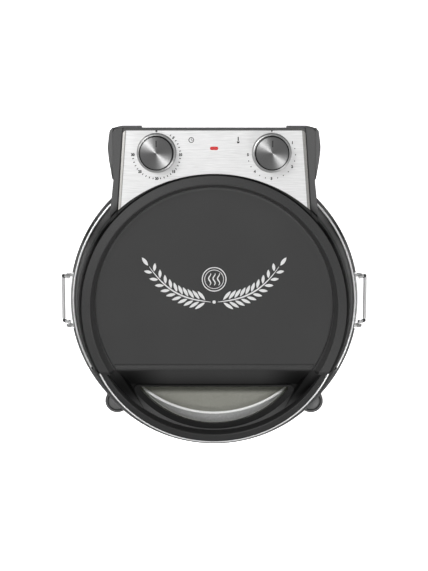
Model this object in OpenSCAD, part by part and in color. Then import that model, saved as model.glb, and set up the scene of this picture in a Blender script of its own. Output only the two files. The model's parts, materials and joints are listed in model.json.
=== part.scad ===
// Countertop pizza cooker: a round base pan with a baking stone, and a hinged lid
// that carries the upper heater, a viewing window and the control housing.
// X runs left to right, the front handle is on the -Y side, and the feet stand on Z = 0.

/* [Base] */
// Outer radius of the base rim
rim_r = 176.2; // [170:0.1:184]
// Height of the top of the base rim
rim_z = 57; // [54:0.5:62]
// Wall of the base shell
base_wall = 2.5; // [1.6:0.1:3.5]
// Radius of the underside of the base shell
base_floor_r = 150; // [142:1:154]
// Height of the underside of the base shell
base_floor_z = 12; // [10:0.5:15]
// Distance of each front foot from the body axis
foot_reach = 181.9; // [176:0.1:190]
// Angle of each front foot from the front centre line
foot_angle = 42.5; // [36:0.5:50]
// Radius of each front foot
foot_r = 15; // [13:0.5:18]
// Thickness of the rubber foot pads
pad_t = 4; // [2.5:0.5:6]

/* [Baking stone] */
// Radius of the baking stone
stone_r = 155; // [145:0.5:156]
// Thickness of the baking stone
stone_t = 12; // [8:0.5:14]
// Sheet thickness of the stone carrier
carrier_t = 1.5; // [1:0.1:2]
// Radius of the wire of the carrying bails
bail_wire_r = 1.5; // [1.2:0.1:2]
// Half of the length of each bail's grip
bail_half = 28; // [22:1:34]
// Length of the legs of each bail
bail_leg = 20; // [15:0.5:24]
// Angle by which each bail hangs outward
bail_hang = 27; // [16:1:32]

/* [Lid] */
// Radius of the lid cover
cover_r = 156.3; // [152:0.1:157]
// Height of the raised ring of the lid cover
crown_z = 120.3; // [118:0.1:124]
// Width of the raised ring
crown_w = 11.5; // [9:0.5:13]
// Height of the flat middle of the lid cover
plateau_z = 110; // [107:0.5:112]
// Radius of the flat middle
plateau_r = 141; // [136:0.5:142]
// Rearward shift of the flat middle
plateau_shift = 2; // [0:0.5:2.5]
// Sheet thickness of the lid cover
cover_t = 1.6; // [1:0.1:2.2]
// Gap around the lid cover
cover_gap = 1; // [0.5:0.1:1.6]
// Wall of the lid shell
shell_wall = 2.5; // [1.8:0.1:3.2]
// Height of the top of the inner liner
liner_z = 81; // [78:0.5:82]

/* [Window recess] */
// Slope of the recess, the window and the handle
front_tilt = 10; // [6:0.5:12]
// Distance of the front wall of the recess from the body axis
recess_front = 157; // [155:0.5:158]
// Height of the recess floor at its front wall
recess_z = 84; // [83:0.5:88]
// Half width of the recess floor
recess_half = 110.3; // [100:0.5:114]
// Length of the recess floor along its slope
recess_len = 62.7; // [56:0.1:68]
// Radius of the front arc of the window frame
frame_r = 117.1; // [112:0.1:119]
// Width of the window frame along its front arc
frame_w = 7.5; // [5:0.5:9]
// Thickness of the window glass
glass_t = 4; // [3:0.5:5]

/* [Handle] */
// Height of the handle above the recess floor
handle_h = 14; // [11:0.5:18]
// Radius of the outer edge of the handle
handle_r = 148.8; // [146:0.1:151]
// Height of the bright strip on the handle
trim_h = 2; // [1:0.5:3]

/* [Control housing] */
// Height of the control panel
panel_z = 114; // [112:0.5:117]
// Thickness of the control panel
panel_t = 1.2; // [0.8:0.1:1.6]
// Half width of the housing, if its slanting sides ran on to the hinge axis
housing_half = 112.9; // [110:0.1:114]
// Narrowing of the housing per millimetre towards the rear
housing_taper = 0.11; // [0:0.01:0.12]
// Half width of the control panel at the hinge axis
panel_half = 106.6; // [103:0.1:107]
// Narrowing of the control panel per millimetre towards the rear
panel_taper = 0.07; // [0.05:0.01:0.09]
// Distance of the housing's rear face from the hinge axis
housing_rear = 26.3; // [25:0.1:30]
// Distance of each knob from the centre line
knob_x = 66.3; // [58:0.1:74]
// Distance of the knobs from the body axis
knob_y = 181.6; // [180:0.1:184]
// Radius of the knob caps
knob_r = 20; // [17:0.1:21]
// Height of the knob caps
knob_h = 11; // [8:0.5:16]
// Radius of the knob skirts
skirt_r = 22.8; // [22.4:0.1:25]

/* [Hinge] */
// Distance of the hinge axis from the body axis
hinge_y = 184; // [182:0.5:187]
// Height of the hinge axis
hinge_z = 92; // [91:0.5:94]
// Radius of the hinge pins
pin_r = 4; // [3:0.1:5]
// Radial clearance of the running fits
run_fit = 0.05; // [0.02:0.01:0.1]
// Gap between the housing and each hinge tower
tower_gap = 0.4; // [0.4:0.1:1]
// Width of each hinge tower
tower_w = 6; // [5.4:0.1:8]

/* [Hidden] */
$fn = 96;
eps = 0.01;

// Colours
dark_plastic = "#3b3b3c";
lid_paint = "#474747";
housing_grey = "#545454";
black_plastic = "#1a1a1b";
bright_steel = "#d9d9d6";
dull_steel = "#a9aaa8";
chrome = "#e6e6e6";
rubber_black = "#232323";
stone_beige = "#c8b493";
lamp_red = "#d7201e";

// The rearmost face of the hinge towers, and the body axis that centres the footprint
tower_back = hinge_y + housing_rear + 0.9;
body_y = (rim_r - tower_back) / 2;

// Base shell: the wall leans out from the floor to the rim
wall_foot_z = base_floor_z + 4;
wall_top_z = rim_z - 10;
wall_top_r = rim_r - 7.7;
rim_drop = 7;
rim_band = 4.2;
seat_z = rim_z - 14.5;
function wall_r(z) =
    base_floor_r + 5 + (z - wall_foot_z) * (wall_top_r - base_floor_r - 5) / (wall_top_z - wall_foot_z);

// Feet
foot_x = foot_reach * sin(foot_angle);
foot_y = -foot_reach * cos(foot_angle);

// Hinge towers
cheek_y = hinge_y - 34;
cheek_half = housing_half + housing_taper * 34;
tower_inner = cheek_half + tower_gap;
tower_outer = tower_inner + tower_w;
tower_top = hinge_z + 18;
tower_tip_y = cheek_y - 0.9;
tower_low_leaf = hinge_z - 24;

// Rear bridge between the hinge towers
bridge_low = pad_t + 2;
bridge_top = rim_z - 8;
bridge_back = tower_back - 5.7;
bridge_front = 96;
bridge_half = tower_inner - 0.2;
rear_pad_x = bridge_half - 8;
rear_pad_y = hinge_y + 6;
gland_z = 24;
passage_z = base_floor_z + 18;
gland_r = 7;
cord_r = 3.75;

// Heaters
heater_tube_r = 3.25;
lower_ring_r = 100;
upper_ring_r = 90;
heater_lead_x = 14;
upper_heater_z = liner_z - 8;
upper_lead_y = upper_ring_r * cos(asin(heater_lead_x / upper_ring_r));
guard_r = 135.8;
guard_wire = 1.5;

screw_r = 1.8;

// Stone and carrier
stone_z = seat_z + carrier_t;
carrier_well_r = stone_r + 2;
carrier_lip_r = rim_r - 5.2;
carrier_top = rim_z + 0.3;
tab_half = bail_half + 6;
tab_r = rim_r - 0.9;
lug_t = 2.5;
lug_gap = 0.4;
pivot_x = rim_r + 1.8;
pivot_z = rim_z - 6.5;

// Lid shell: the outer wall leans in from the flange to the top lip
lid_low_z = rim_z + 0.7;
flange_r = rim_r - 2.6;
flange_t = 3;
ring_foot_r = rim_r - 6.4;
lip_r = cover_r + cover_gap;
ring_top_r = lip_r + 2.7;
ring_top_z = panel_z - 1;
ledge_z = liner_z + 1;
cover_top_in = crown_z - 2.1;
groove_z = plateau_z - 3;
crown_in_r = cover_r - crown_w;
function ring_r(z) =
    ring_foot_r + (z - lid_low_z - flange_t) * (ring_top_r - ring_foot_r) / (ring_top_z - lid_low_z - flange_t);

// Front frame: the recess floor and all that lies along it
front_arc_r = 142;
front_arc_y = front_arc_r + 2.4;
side_turn = 26;
side_reach = recess_half - 47.5;
wrap_h = 3;
shoulder_x = 80;
shoulder_start = 24;
shoulder_end = 9;
handle_arc_y = handle_r - 9.2;
handle_len = 85;
end_x = 131.6;
end_r = 4.8;
handle_edge = 1.8;
frame_arc_y = frame_r + 5.1;
glass_lip_r = frame_r - frame_w;
glass_rebate = 2;
skirt_wall = 1.8;
frame_proud = 2.5;
lip_t = 1.7;
rear_bar = 2.3;

// Indicator
indicator_y = 186.8;
indicator_w = 9.6;
indicator_h = 4;

// Housing
housing_low = hinge_z - housing_rear - 0.5;
panel_groove = 1.5;
bevel_w = 2.6;
bevel_turn = 17;
rear_band = 3.2;
panel_front_y = -12;
panel_front_r = 169.5;
unit_half = 20;
unit_drop = 30;
bush_r = 5;
shaft_r = 3;
bulb_r = 3;
bulb_len = 70;
bulb_x = 30;
bulb_y = 118;

// Knobs
skirt_h = 3.8;
knob_gap = 0.4;
cap_z = panel_z + knob_gap + skirt_h;

// Places a part that is drawn around the body axis
module on_body() {
    translate([0, body_y, 0]) children();
}

// Lays a part along the slope of the window recess
module on_front() {
    translate([0, -recess_front, recess_z]) rotate([front_tilt, 0, 0]) children();
}

module both_sides() {
    children();
    mirror([1, 0, 0]) children();
}

// Points of an arc from angle a to angle b
function arc(cx, cy, r, a, b, n = 24) =
    [for (i = [0 : n]) let (t = a + (b - a) * i / n) [cx + r * cos(t), cy + r * sin(t)]];

// Outline of a round segment with a straight rear edge and rounded corners
function segment(r, cy, back, corner, n = 72) =
    let (
        up = cy - back + corner,
        side = sqrt(pow(r - corner, 2) - up * up),
        turn = asin(up / (r - corner))
    )
    concat(
        arc(0, cy, r, -180 + turn, -turn, n),
        arc(side, cy - up, corner, -turn, 90, 10),
        arc(-side, cy - up, corner, 90, 180 + turn, 10)
    );

module window_shape(grow, back, corner) {
    polygon(segment(glass_lip_r + grow, frame_arc_y - 0.4, back, corner));
}

// Base

module base_outer(gap) {
    rotate_extrude() polygon([
        [0, base_floor_z - gap],
        [base_floor_r + gap, base_floor_z - gap],
        [base_floor_r + 5 + gap, wall_foot_z],
        [wall_top_r + gap, wall_top_z],
        [wall_top_r + 0.6 + gap, rim_z - rim_drop],
        [wall_top_r + 0.6 + gap, rim_z],
        [0, rim_z]
    ]);
}

module base_shell() color(dark_plastic) on_body() difference() {
    rotate_extrude() polygon(concat(
        [
            [base_floor_r - 10, base_floor_z],
            [base_floor_r - 1, base_floor_z],
            [base_floor_r, base_floor_z + 0.3],
            [base_floor_r + 5, wall_foot_z],
            [wall_top_r, wall_top_z],
            [wall_top_r + 0.6, rim_z - rim_drop]
        ],
        [
            [rim_r - 0.8, rim_z - rim_drop],
            [rim_r, rim_z - rim_drop + 0.8],
            [rim_r, rim_z - 2.6],
            [rim_r - 1, rim_z - 1.8],
            [rim_r - 1.2, rim_z - 0.4],
            [rim_r - 1.8, rim_z],
            [rim_r - rim_band, rim_z],
            [rim_r - rim_band, rim_z - 3],
            [wall_top_r - base_wall + 0.6, rim_z - rim_drop + 2],
            [wall_top_r - base_wall, wall_top_z],
            [base_floor_r + 5 - base_wall, wall_foot_z],
            [base_floor_r - base_wall, base_floor_z + base_wall],
            [base_floor_r - 10, base_floor_z + base_wall]
        ]
    ));
    // notches for the tabs of the stone carrier
    both_sides() translate([wall_top_r + 0.3, -tab_half - 0.6, wall_top_z + 2])
        cube([20, 2 * tab_half + 1.2, 20]);
    both_sides() translate([carrier_well_r, -tab_half - 0.6, rim_z - 2.8])
        cube([20, 2 * tab_half + 1.2, 20]);
    // seats of the bottom screws
    bottom_screw_places() cylinder(r = screw_r + 0.05, h = 3);
    // passage of the wires to the rear bridge
    translate([0, base_floor_r, passage_z]) rotate([-90, 0, 0]) cylinder(r = 9, h = 30);
}

module bottom_screw_places() {
    for (a = [0 : 60 : 300]) rotate([0, 0, a + 30]) translate([base_floor_r - 7, 0, base_floor_z - 1.3])
        children();
}

module base_bottom() color(dull_steel) on_body() difference() {
    union() {
        translate([0, 0, base_floor_z - 1.2]) cylinder(r = base_floor_r - 4, h = 1.2);
        translate([0, 0, base_floor_z - 2.4]) rotate_extrude()
            polygon([[60, 0], [66, 0], [68, 1.3], [58, 1.3]]);
    }
    for (ring = [0 : 2]) for (a = [0 : 30 : 330])
        rotate([0, 0, a + 15 * (ring % 2)]) translate([84 + 16 * ring, 0, base_floor_z - 4])
            linear_extrude(6) union() {
                translate([-4, 0]) circle(r = 2, $fn = 24);
                translate([4, 0]) circle(r = 2, $fn = 24);
                square([8, 4], center = true);
            }
    bottom_screw_places() translate([0, 0, -1]) cylinder(r = screw_r + 0.05, h = 3);
}

module front_leg() difference() {
    union() {
        rotate([0, 0, foot_angle]) translate([0, 0, base_floor_z]) linear_extrude(12)
            polygon([[-24, -base_floor_r + 8], [24, -base_floor_r + 8],
                     [foot_r - 3, -foot_reach], [-foot_r + 3, -foot_reach]]);
        translate([foot_x, foot_y, 0]) rotate_extrude() polygon([
            [0, pad_t - 1],
            [foot_r - 2, pad_t - 1],
            [foot_r, pad_t + 1],
            [foot_r, base_floor_z + 8],
            [foot_r - 1.2, base_floor_z + 9.2],
            [foot_r - 3, base_floor_z + 9.2],
            [foot_r - 3.6, base_floor_z + 8.4],
            [foot_r - 4.2, base_floor_z + 9.2],
            [foot_r - 6, base_floor_z + 11],
            [foot_r - 10, base_floor_z + 12.2],
            [0, base_floor_z + 12.6]
        ]);
    }
    base_outer(0.1);
    translate([foot_x, foot_y, -eps]) cylinder(r = foot_r - 4, h = pad_t);
}

module front_legs() color(housing_grey) on_body() both_sides() front_leg();

module foot_pads() color(rubber_black) on_body() both_sides() {
    translate([foot_x, foot_y, 0]) rotate_extrude()
        polygon([[0, 0], [foot_r - 5.5, 0], [foot_r - 4.1, 1], [foot_r - 4.1, pad_t - eps], [0, pad_t - eps]]);
    translate([rear_pad_x, rear_pad_y, 0]) rotate_extrude()
        polygon([[0, 0], [10.5, 0], [12, 1], [12, pad_t + 2], [0, pad_t + 2]]);
}

// Rear bridge: joins the two hinge towers behind the pan and takes the mains cord
module bridge_block(inset, low, high) {
    edge = 5 - min(inset, 2);
    intersection() {
        translate([0, 0, low]) linear_extrude(high - low) polygon(concat(
            [[-bridge_half + inset, bridge_front], [bridge_half - inset, bridge_front]],
            arc(bridge_half - inset - edge, bridge_back - inset - edge, edge, 0, 90, 8),
            arc(-bridge_half + inset + edge, bridge_back - inset - edge, edge, 90, 180, 8)
        ));
        translate([-150, 0, 0]) rotate([90, 0, 90]) linear_extrude(300) polygon(concat(
            [[bridge_front - 1, low - 1], [bridge_back + 1, low - 1]],
            arc(bridge_back - inset - edge, high - edge, edge, 0, 90, 8),
            [[bridge_front - 1, high]]
        ));
    }
}

// What the pan takes away from the bridge
module pan_space(gap) {
    base_outer(gap);
    cylinder(r = base_floor_r + 0.4 + gap, h = base_floor_z + 8);
}

module rear_bridge() color(dark_plastic) on_body() difference() {
    bridge_block(0, bridge_low, bridge_top);
    difference() {
        bridge_block(base_wall, bridge_low - 1, bridge_top - base_wall);
        pan_space(base_wall + 0.2);
        // screw posts of the hinge towers
        both_sides() translate([bridge_half - 9, hinge_y - 20, 0]) cylinder(r = 6, h = 60);
    }
    pan_space(0.2);
    // wire passage from the pan
    translate([0, base_floor_r, passage_z]) rotate([-90, 0, 0]) cylinder(r = 9, h = 32);
    // hole of the cord gland
    translate([0, bridge_back - 10, gland_z]) rotate([-90, 0, 0]) cylinder(r = gland_r, h = 20);
    // air slots above the terminals
    for (i = [-3 : 3]) translate([i * 12 - 2, bridge_back - 6, bridge_top - 15]) cube([4, 12, 8]);
}

module bridge_cover() color(dull_steel) on_body() difference() {
    bridge_block(base_wall + 0.15, bridge_low, bridge_low + 1.5 + 40);
    translate([-200, 0, bridge_low + 1.5]) cube([400, 400, 100]);
    pan_space(base_wall + 0.3);
    both_sides() translate([bridge_half - 9, hinge_y - 20, 0]) cylinder(r = 6.15, h = 60);
    both_sides() translate([rear_pad_x, rear_pad_y, 0]) cylinder(r = 7, h = 60);
}

module cord_gland() color(black_plastic) on_body() difference() {
    translate([0, bridge_back, gland_z]) rotate([-90, 0, 0]) union() {
        translate([0, 0, -base_wall]) cylinder(r = gland_r - 0.05, h = base_wall);
        translate([0, 0, -base_wall - 2]) cylinder(r = gland_r + 1.8, h = 2);
        rotate_extrude() polygon([[0, 0], [gland_r + 2.2, 0], [gland_r + 2.2, 1.2],
            [gland_r + 1, 2.2], [cord_r + 1.6, 3.2], [0, 3.2]]);
    }
    translate([0, bridge_back - 10, gland_z]) rotate([-90, 0, 0]) cylinder(r = cord_r, h = 30);
}

module terminal_block() color("#e9e6dc") on_body() difference() {
    translate([-24, bridge_back - 26, bridge_low + 1.5]) cube([48, 16, 14]);
    for (i = [-1 : 1]) {
        translate([i * 15, bridge_back - 27, bridge_low + 8]) rotate([-90, 0, 0]) cylinder(r = 2.2, h = 20);
        translate([i * 15, bridge_back - 18, bridge_low + 9]) cylinder(r = 2.6, h = 10);
    }
}

// Hinge tower: a rounded upright beside the housing with a low leaf behind it
module tower_side() {
    polygon(concat(
        [
            [tower_tip_y + 2, bridge_low],
            [tower_tip_y, bridge_low + 2],
            [tower_tip_y, hinge_z - 8]
        ],
        arc(tower_tip_y + 22, hinge_z - 4, 22, 180, 90, 16),
        arc(tower_back - 6, tower_top - 6, 6, 90, 0, 8),
        [
            [tower_back, hinge_z - 28],
            [tower_back - 1.6, bridge_low + 2],
            [tower_back - 3.6, bridge_low]
        ]
    ));
}

module tower_plan() {
    polygon([
        [tower_inner - 28, tower_back - 3.2],
        [tower_inner, tower_back - 3.2],
        [tower_inner, hinge_y - 23],
        [tower_inner + 1, tower_tip_y],
        [tower_outer - 4.2, tower_tip_y],
        [tower_outer - 3.2, hinge_y - 23],
        [tower_outer - 1.2, hinge_y - 10],
        [tower_outer - 0.1, hinge_y],
        [tower_outer, hinge_y + 5],
        [tower_outer - 1.4, tower_back - 11.5],
        [tower_outer - 2.5, tower_back - 4.5],
        [tower_outer - 5.1, tower_back - 1.3],
        [tower_outer - 9.4, tower_back],
        [tower_inner - 28, tower_back]
    ]);
}

module hinge_tower() difference() {
    intersection() {
        linear_extrude(hinge_z + 30) tower_plan();
        union() {
            translate([tower_inner - 0.01, 0, 0]) rotate([90, 0, 90]) linear_extrude(30) tower_side();
            translate([0, hinge_y, bridge_low]) cube([tower_inner + 0.01, 60, tower_low_leaf - bridge_low]);
        }
        // bevel along the outer edge of the top
        translate([0, 250, 0]) rotate([90, 0, 0]) linear_extrude(150) polygon([
            [0, 0],
            [tower_outer + 1, 0],
            [tower_outer + 1, tower_top - 2.6],
            [tower_outer - 1.6, tower_top + 0.1],
            [0, tower_top + 0.1]
        ]);
    }
    // blind seat of the hinge pin
    translate([tower_inner - 5, hinge_y, hinge_z]) rotate([0, 90, 0]) cylinder(r = pin_r, h = 4 + tower_w);
    // lightening pocket of the outer leaf, open inwards
    translate([tower_inner - 1, hinge_y - 26, bridge_low + 6])
        cube([tower_w - 2.8, 40, hinge_z - bridge_low - 40]);
}

module left_hinge_tower() color(housing_grey) on_body() mirror([1, 0, 0]) hinge_tower();
module right_hinge_tower() color(housing_grey) on_body() hinge_tower();

module hinge_pins() color(bright_steel) on_body() both_sides()
    translate([tower_inner - 11, hinge_y, hinge_z]) rotate([0, 90, 0]) union() {
        cylinder(r = pin_r, h = 9.7 + tower_w);
        translate([0, 0, -0.8]) cylinder(r1 = pin_r - 0.8, r2 = pin_r, h = 0.8);
    }

// Heating of the base

module reflector_dish() color(bright_steel) on_body() difference() {
    rotate_extrude() polygon([
        [0, base_floor_z + 8],
        [wall_r(26) - 14, base_floor_z + 8],
        [wall_r(26) - 9, base_floor_z + 12],
        [wall_r(seat_z) - 8, seat_z - 1.2],
        [wall_r(seat_z - 1.2) - base_wall - 0.25, seat_z - 1.2],
        [wall_r(seat_z) - base_wall - 0.25, seat_z],
        [wall_r(seat_z) - 9, seat_z],
        [wall_r(26) - 10.2, base_floor_z + 12.5],
        [wall_r(26) - 14.6, base_floor_z + 9.2],
        [0, base_floor_z + 9.2]
    ]);
    both_sides() translate([heater_lead_x, 0, base_floor_z + 20]) rotate([-90, 0, 0])
        cylinder(r = heater_tube_r + 0.4, h = 200);
}

// A round tube heater with two leads that run to the rear
module heater_ring(ring_r) {
    half = asin(heater_lead_x / ring_r);
    rotate([0, 0, 90 + half]) rotate_extrude(angle = 360 - 2 * half)
        translate([ring_r, 0]) circle(r = heater_tube_r, $fn = 32);
}

module lower_heater() color(dull_steel) on_body() translate([0, 0, base_floor_z + 20]) {
    heater_ring(lower_ring_r);
    both_sides() translate([heater_lead_x, lower_ring_r * cos(asin(heater_lead_x / lower_ring_r)) - 1, 0]) union() {
        sphere(r = heater_tube_r, $fn = 32);
        rotate([-90, 0, 0]) cylinder(r = heater_tube_r, h = 44);
        rotate([-90, 0, 0]) cylinder(r = 1.2, h = 51);
    }
}

module clip(ring_r, base_drop) difference() {
    translate([ring_r - 5.2, -3.5, -base_drop]) cube([10.4, 7, base_drop + 5]);
    translate([ring_r, 0, 0]) rotate([90, 0, 0]) cylinder(r = heater_tube_r + 0.1, h = 30, center = true);
    translate([ring_r - 2.2, -6, 0]) cube([4.4, 12, 10]);
    translate([ring_r - 4, -6, -base_drop - eps]) cube([8, 12, max(base_drop - 5, 1)]);
}

module lower_heater_clips() color(bright_steel) on_body()
    for (a = [30, 150, 270]) rotate([0, 0, a]) translate([0, 0, base_floor_z + 20])
        clip(lower_ring_r, 10.8);

module screw(length, head) {
    cylinder(r = screw_r, h = length, $fn = 32);
    difference() {
        translate([0, 0, -1.7]) cylinder(r = head, h = 1.8, $fn = 32);
        translate([0, 0, -1.7]) cube([1, 2 * head + 1, 1.6], center = true);
    }
}

module base_screws() color(dull_steel) on_body() bottom_screw_places() screw(2.8, 3);

// Stone and its carrier

// Ear that hangs from the tab, seen along Y: it holds one end of the bail and its stop
module ear_profile() difference() {
    union() {
        polygon(concat(
            [[carrier_lip_r - 2, carrier_top - 0.7], [tab_r - 0.5, carrier_top - 0.7]],
            arc(pivot_x, pivot_z, 3.6, 60, -110, 14),
            [[carrier_lip_r - 2, pivot_z - 3]]
        ));
        translate([pivot_x, pivot_z]) rotate(bail_hang) translate([-5.4, -10]) square([3.4, 8]);
    }
    translate([pivot_x, pivot_z]) circle(r = bail_wire_r + run_fit, $fn = 32);
}

module ear() {
    inner = bail_half + bail_wire_r + lug_gap;
    translate([0, inner + lug_t, 0]) rotate([90, 0, 0]) linear_extrude(lug_t) ear_profile();
    // foot that the hanging leg rests on
    translate([0, inner + lug_t, 0]) rotate([90, 0, 0]) linear_extrude(lug_t + lug_gap + 2 * bail_wire_r)
        translate([pivot_x, pivot_z]) rotate(bail_hang) translate([-4.8, -9.8])
            square([4.8 - bail_wire_r - 0.35, 1.8]);
}

module stone_carrier() color(dull_steel) on_body() {
    rotate_extrude() polygon([
        [stone_r - 16, seat_z],
        [carrier_well_r - 2, seat_z],
        [carrier_well_r + carrier_t - 0.5, seat_z + 1.2],
        [carrier_well_r + carrier_t, seat_z + 2.5],
        [carrier_well_r + carrier_t, carrier_top - carrier_t],
        [carrier_lip_r - 0.6, carrier_top - carrier_t],
        [carrier_lip_r, carrier_top - carrier_t + 0.5],
        [carrier_lip_r - 0.2, carrier_top],
        [carrier_well_r + 1, carrier_top],
        [carrier_well_r, carrier_top - 1],
        [carrier_well_r, seat_z + 3],
        [carrier_well_r - 1, seat_z + carrier_t],
        [stone_r - 16, seat_z + carrier_t]
    ]);
    both_sides() {
        intersection() {
            rotate_extrude() polygon([
                [carrier_lip_r - 3, carrier_top - carrier_t],
                [tab_r - 0.4, carrier_top - carrier_t],
                [tab_r, carrier_top - carrier_t + 0.4],
                [tab_r - 0.3, carrier_top],
                [carrier_lip_r - 3, carrier_top]
            ]);
            translate([100, -tab_half, 0]) cube([100, 2 * tab_half, 100]);
        }
        ear();
        mirror([0, 1, 0]) ear();
    }
}

module baking_stone() color(stone_beige) on_body() rotate_extrude() polygon([
    [0, stone_z],
    [stone_r - 1.5, stone_z],
    [stone_r, stone_z + 1.5],
    [stone_r, stone_z + stone_t - 2],
    [stone_r - 0.6, stone_z + stone_t - 0.6],
    [stone_r - 2, stone_z + stone_t],
    [0, stone_z + stone_t]
]);

module bail() translate([pivot_x, 0, pivot_z]) rotate([0, -bail_hang, 0]) {
    bend = 4;
    // grip
    translate([0, -bail_half + bend, -bail_leg]) rotate([-90, 0, 0])
        cylinder(r = bail_wire_r, h = 2 * (bail_half - bend), $fn = 32);
    for (s = [-1, 1]) {
        // leg
        translate([0, s * bail_half, -bail_leg + bend]) cylinder(r = bail_wire_r, h = bail_leg - bend, $fn = 32);
        // lower bend
        translate([0, s * (bail_half - bend), -bail_leg + bend]) rotate([0, 90, 0])
            rotate([0, 0, s > 0 ? 0 : -90]) rotate_extrude(angle = 90)
                translate([bend, 0]) circle(r = bail_wire_r, $fn = 32);
        // pivot stub
        translate([0, s * bail_half, 0]) sphere(r = bail_wire_r, $fn = 32);
        translate([0, s * bail_half, 0]) rotate([s > 0 ? -90 : 90, 0, 0])
            cylinder(r = bail_wire_r, h = bail_wire_r + lug_gap + lug_t + 1.2, $fn = 32);
        translate([0, s * (bail_half + bail_wire_r + lug_gap + lug_t + 0.2), 0]) rotate([s > 0 ? -90 : 90, 0, 0])
            cylinder(r = bail_wire_r + 0.9, h = 1, $fn = 32);
    }
}

module right_bail() color(chrome) on_body() bail();
module left_bail() color(chrome) on_body() mirror([1, 0, 0]) bail();

// Lid

function housing_side(y) = housing_half + housing_taper * (hinge_y - min(y, cheek_y));
function panel_side(y) = panel_half + panel_taper * (hinge_y - y);

module housing_plan(inset, corner) {
    rear = hinge_y + housing_rear - inset;
    front = 96;
    side_rear = housing_side(rear) - inset;
    side_front = housing_side(front) - inset;
    polygon(concat(
        [[-side_front, front], [side_front, front], [side_rear, cheek_y]],
        arc(side_rear - corner, rear - corner, corner, 0, 90, 10),
        arc(-side_rear + corner, rear - corner, corner, 90, 180, 10),
        [[-side_rear, cheek_y]]
    ));
}

module housing_profile(inset) {
    rear = housing_rear - inset;
    top = panel_z - 0.5 - inset;
    edge = 3.5;
    polygon(concat(
        [[96, hinge_z - housing_rear + inset]],
        arc(hinge_y, hinge_z, rear, -90, 0, 14),
        arc(hinge_y + rear - edge, top - edge, edge, 0, 90, 8),
        [[96, top]]
    ));
}

module housing_outer() {
    intersection() {
        translate([0, 0, 40]) linear_extrude(120) housing_plan(0, 7);
        translate([-150, 0, 0]) rotate([90, 0, 90]) linear_extrude(300) housing_profile(0);
    }
}

module housing_inner() {
    intersection() {
        translate([0, 0, 40]) linear_extrude(120) housing_plan(shell_wall, 5);
        translate([-150, 0, 0]) rotate([90, 0, 90]) linear_extrude(300) housing_profile(shell_wall);
    }
    // the underside is open in front of the rounded rear
    translate([0, 0, hinge_z - housing_rear - 5]) linear_extrude(20) intersection() {
        housing_plan(shell_wall, 5);
        translate([-150, 90]) square([300, hinge_y - 90]);
    }
}

module lid_ring_profile() {
    polygon([
        [flange_r - 8, lid_low_z],
        [flange_r - 0.5, lid_low_z],
        [flange_r, lid_low_z + 0.5],
        [flange_r, lid_low_z + flange_t - 0.5],
        [flange_r - 0.5, lid_low_z + flange_t],
        [ring_foot_r, lid_low_z + flange_t],
        [ring_foot_r - 1.5, lid_low_z + flange_t + 2.8],
        [ring_foot_r - 2.8, lid_low_z + flange_t + 9],
        [ring_r(90) + 0.2, 90],
        [ring_r(104) + 0.5, 104],
        [ring_top_r + 0.2, ring_top_z - 3.2],
        [ring_top_r - 0.6, ring_top_z - 1],
        [lip_r + 0.6, ring_top_z - 2.4],
        [lip_r, ring_top_z - 3.4],
        [lip_r, ring_top_z - 9],
        [lip_r + 2, ring_top_z - 9],
        [lip_r + 2, ring_top_z - 5.5],
        [ring_r(104) - shell_wall + 0.6, ring_top_z - 6],
        [ring_r(90) - shell_wall + 0.6, 90],
        [ring_r(ledge_z) - shell_wall + 0.3, ledge_z],
        [cover_r - 3.3, ledge_z],
        [cover_r - 3.3, ledge_z - 2.5],
        [ring_r(ledge_z - 2.5) - shell_wall, ledge_z - 2.5],
        [flange_r - 8, lid_low_z + flange_t]
    ]);
}

// The zone of the handle, cut out of the shell at a given height above the recess floor
module handle_zone(height, grow = 0) {
    on_front() translate([-190, -60, height]) cube([380, 60 + handle_len + 0.4 + grow, 70]);
}

// The solid bounded by the outer side of the lid ring, up to a given height
module ring_body(gap, top) {
    rotate_extrude() polygon([
        [0, lid_low_z],
        [ring_foot_r + gap, lid_low_z],
        [ring_foot_r + gap, lid_low_z + flange_t],
        [ring_foot_r - 1.5 + gap, lid_low_z + flange_t + 2.8],
        [ring_foot_r - 2.8 + gap, lid_low_z + flange_t + 9],
        [ring_r(90) + 0.2 + gap, 90],
        [ring_r(top) + 0.5 + gap, max(top, 90.1)],
        [0, max(top, 90.1)]
    ]);
}

module hinge_boss(r, from_x, to_x) {
    translate([from_x, hinge_y, hinge_z]) rotate([0, 90, 0]) cylinder(r = r, h = to_x - from_x);
}

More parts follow.
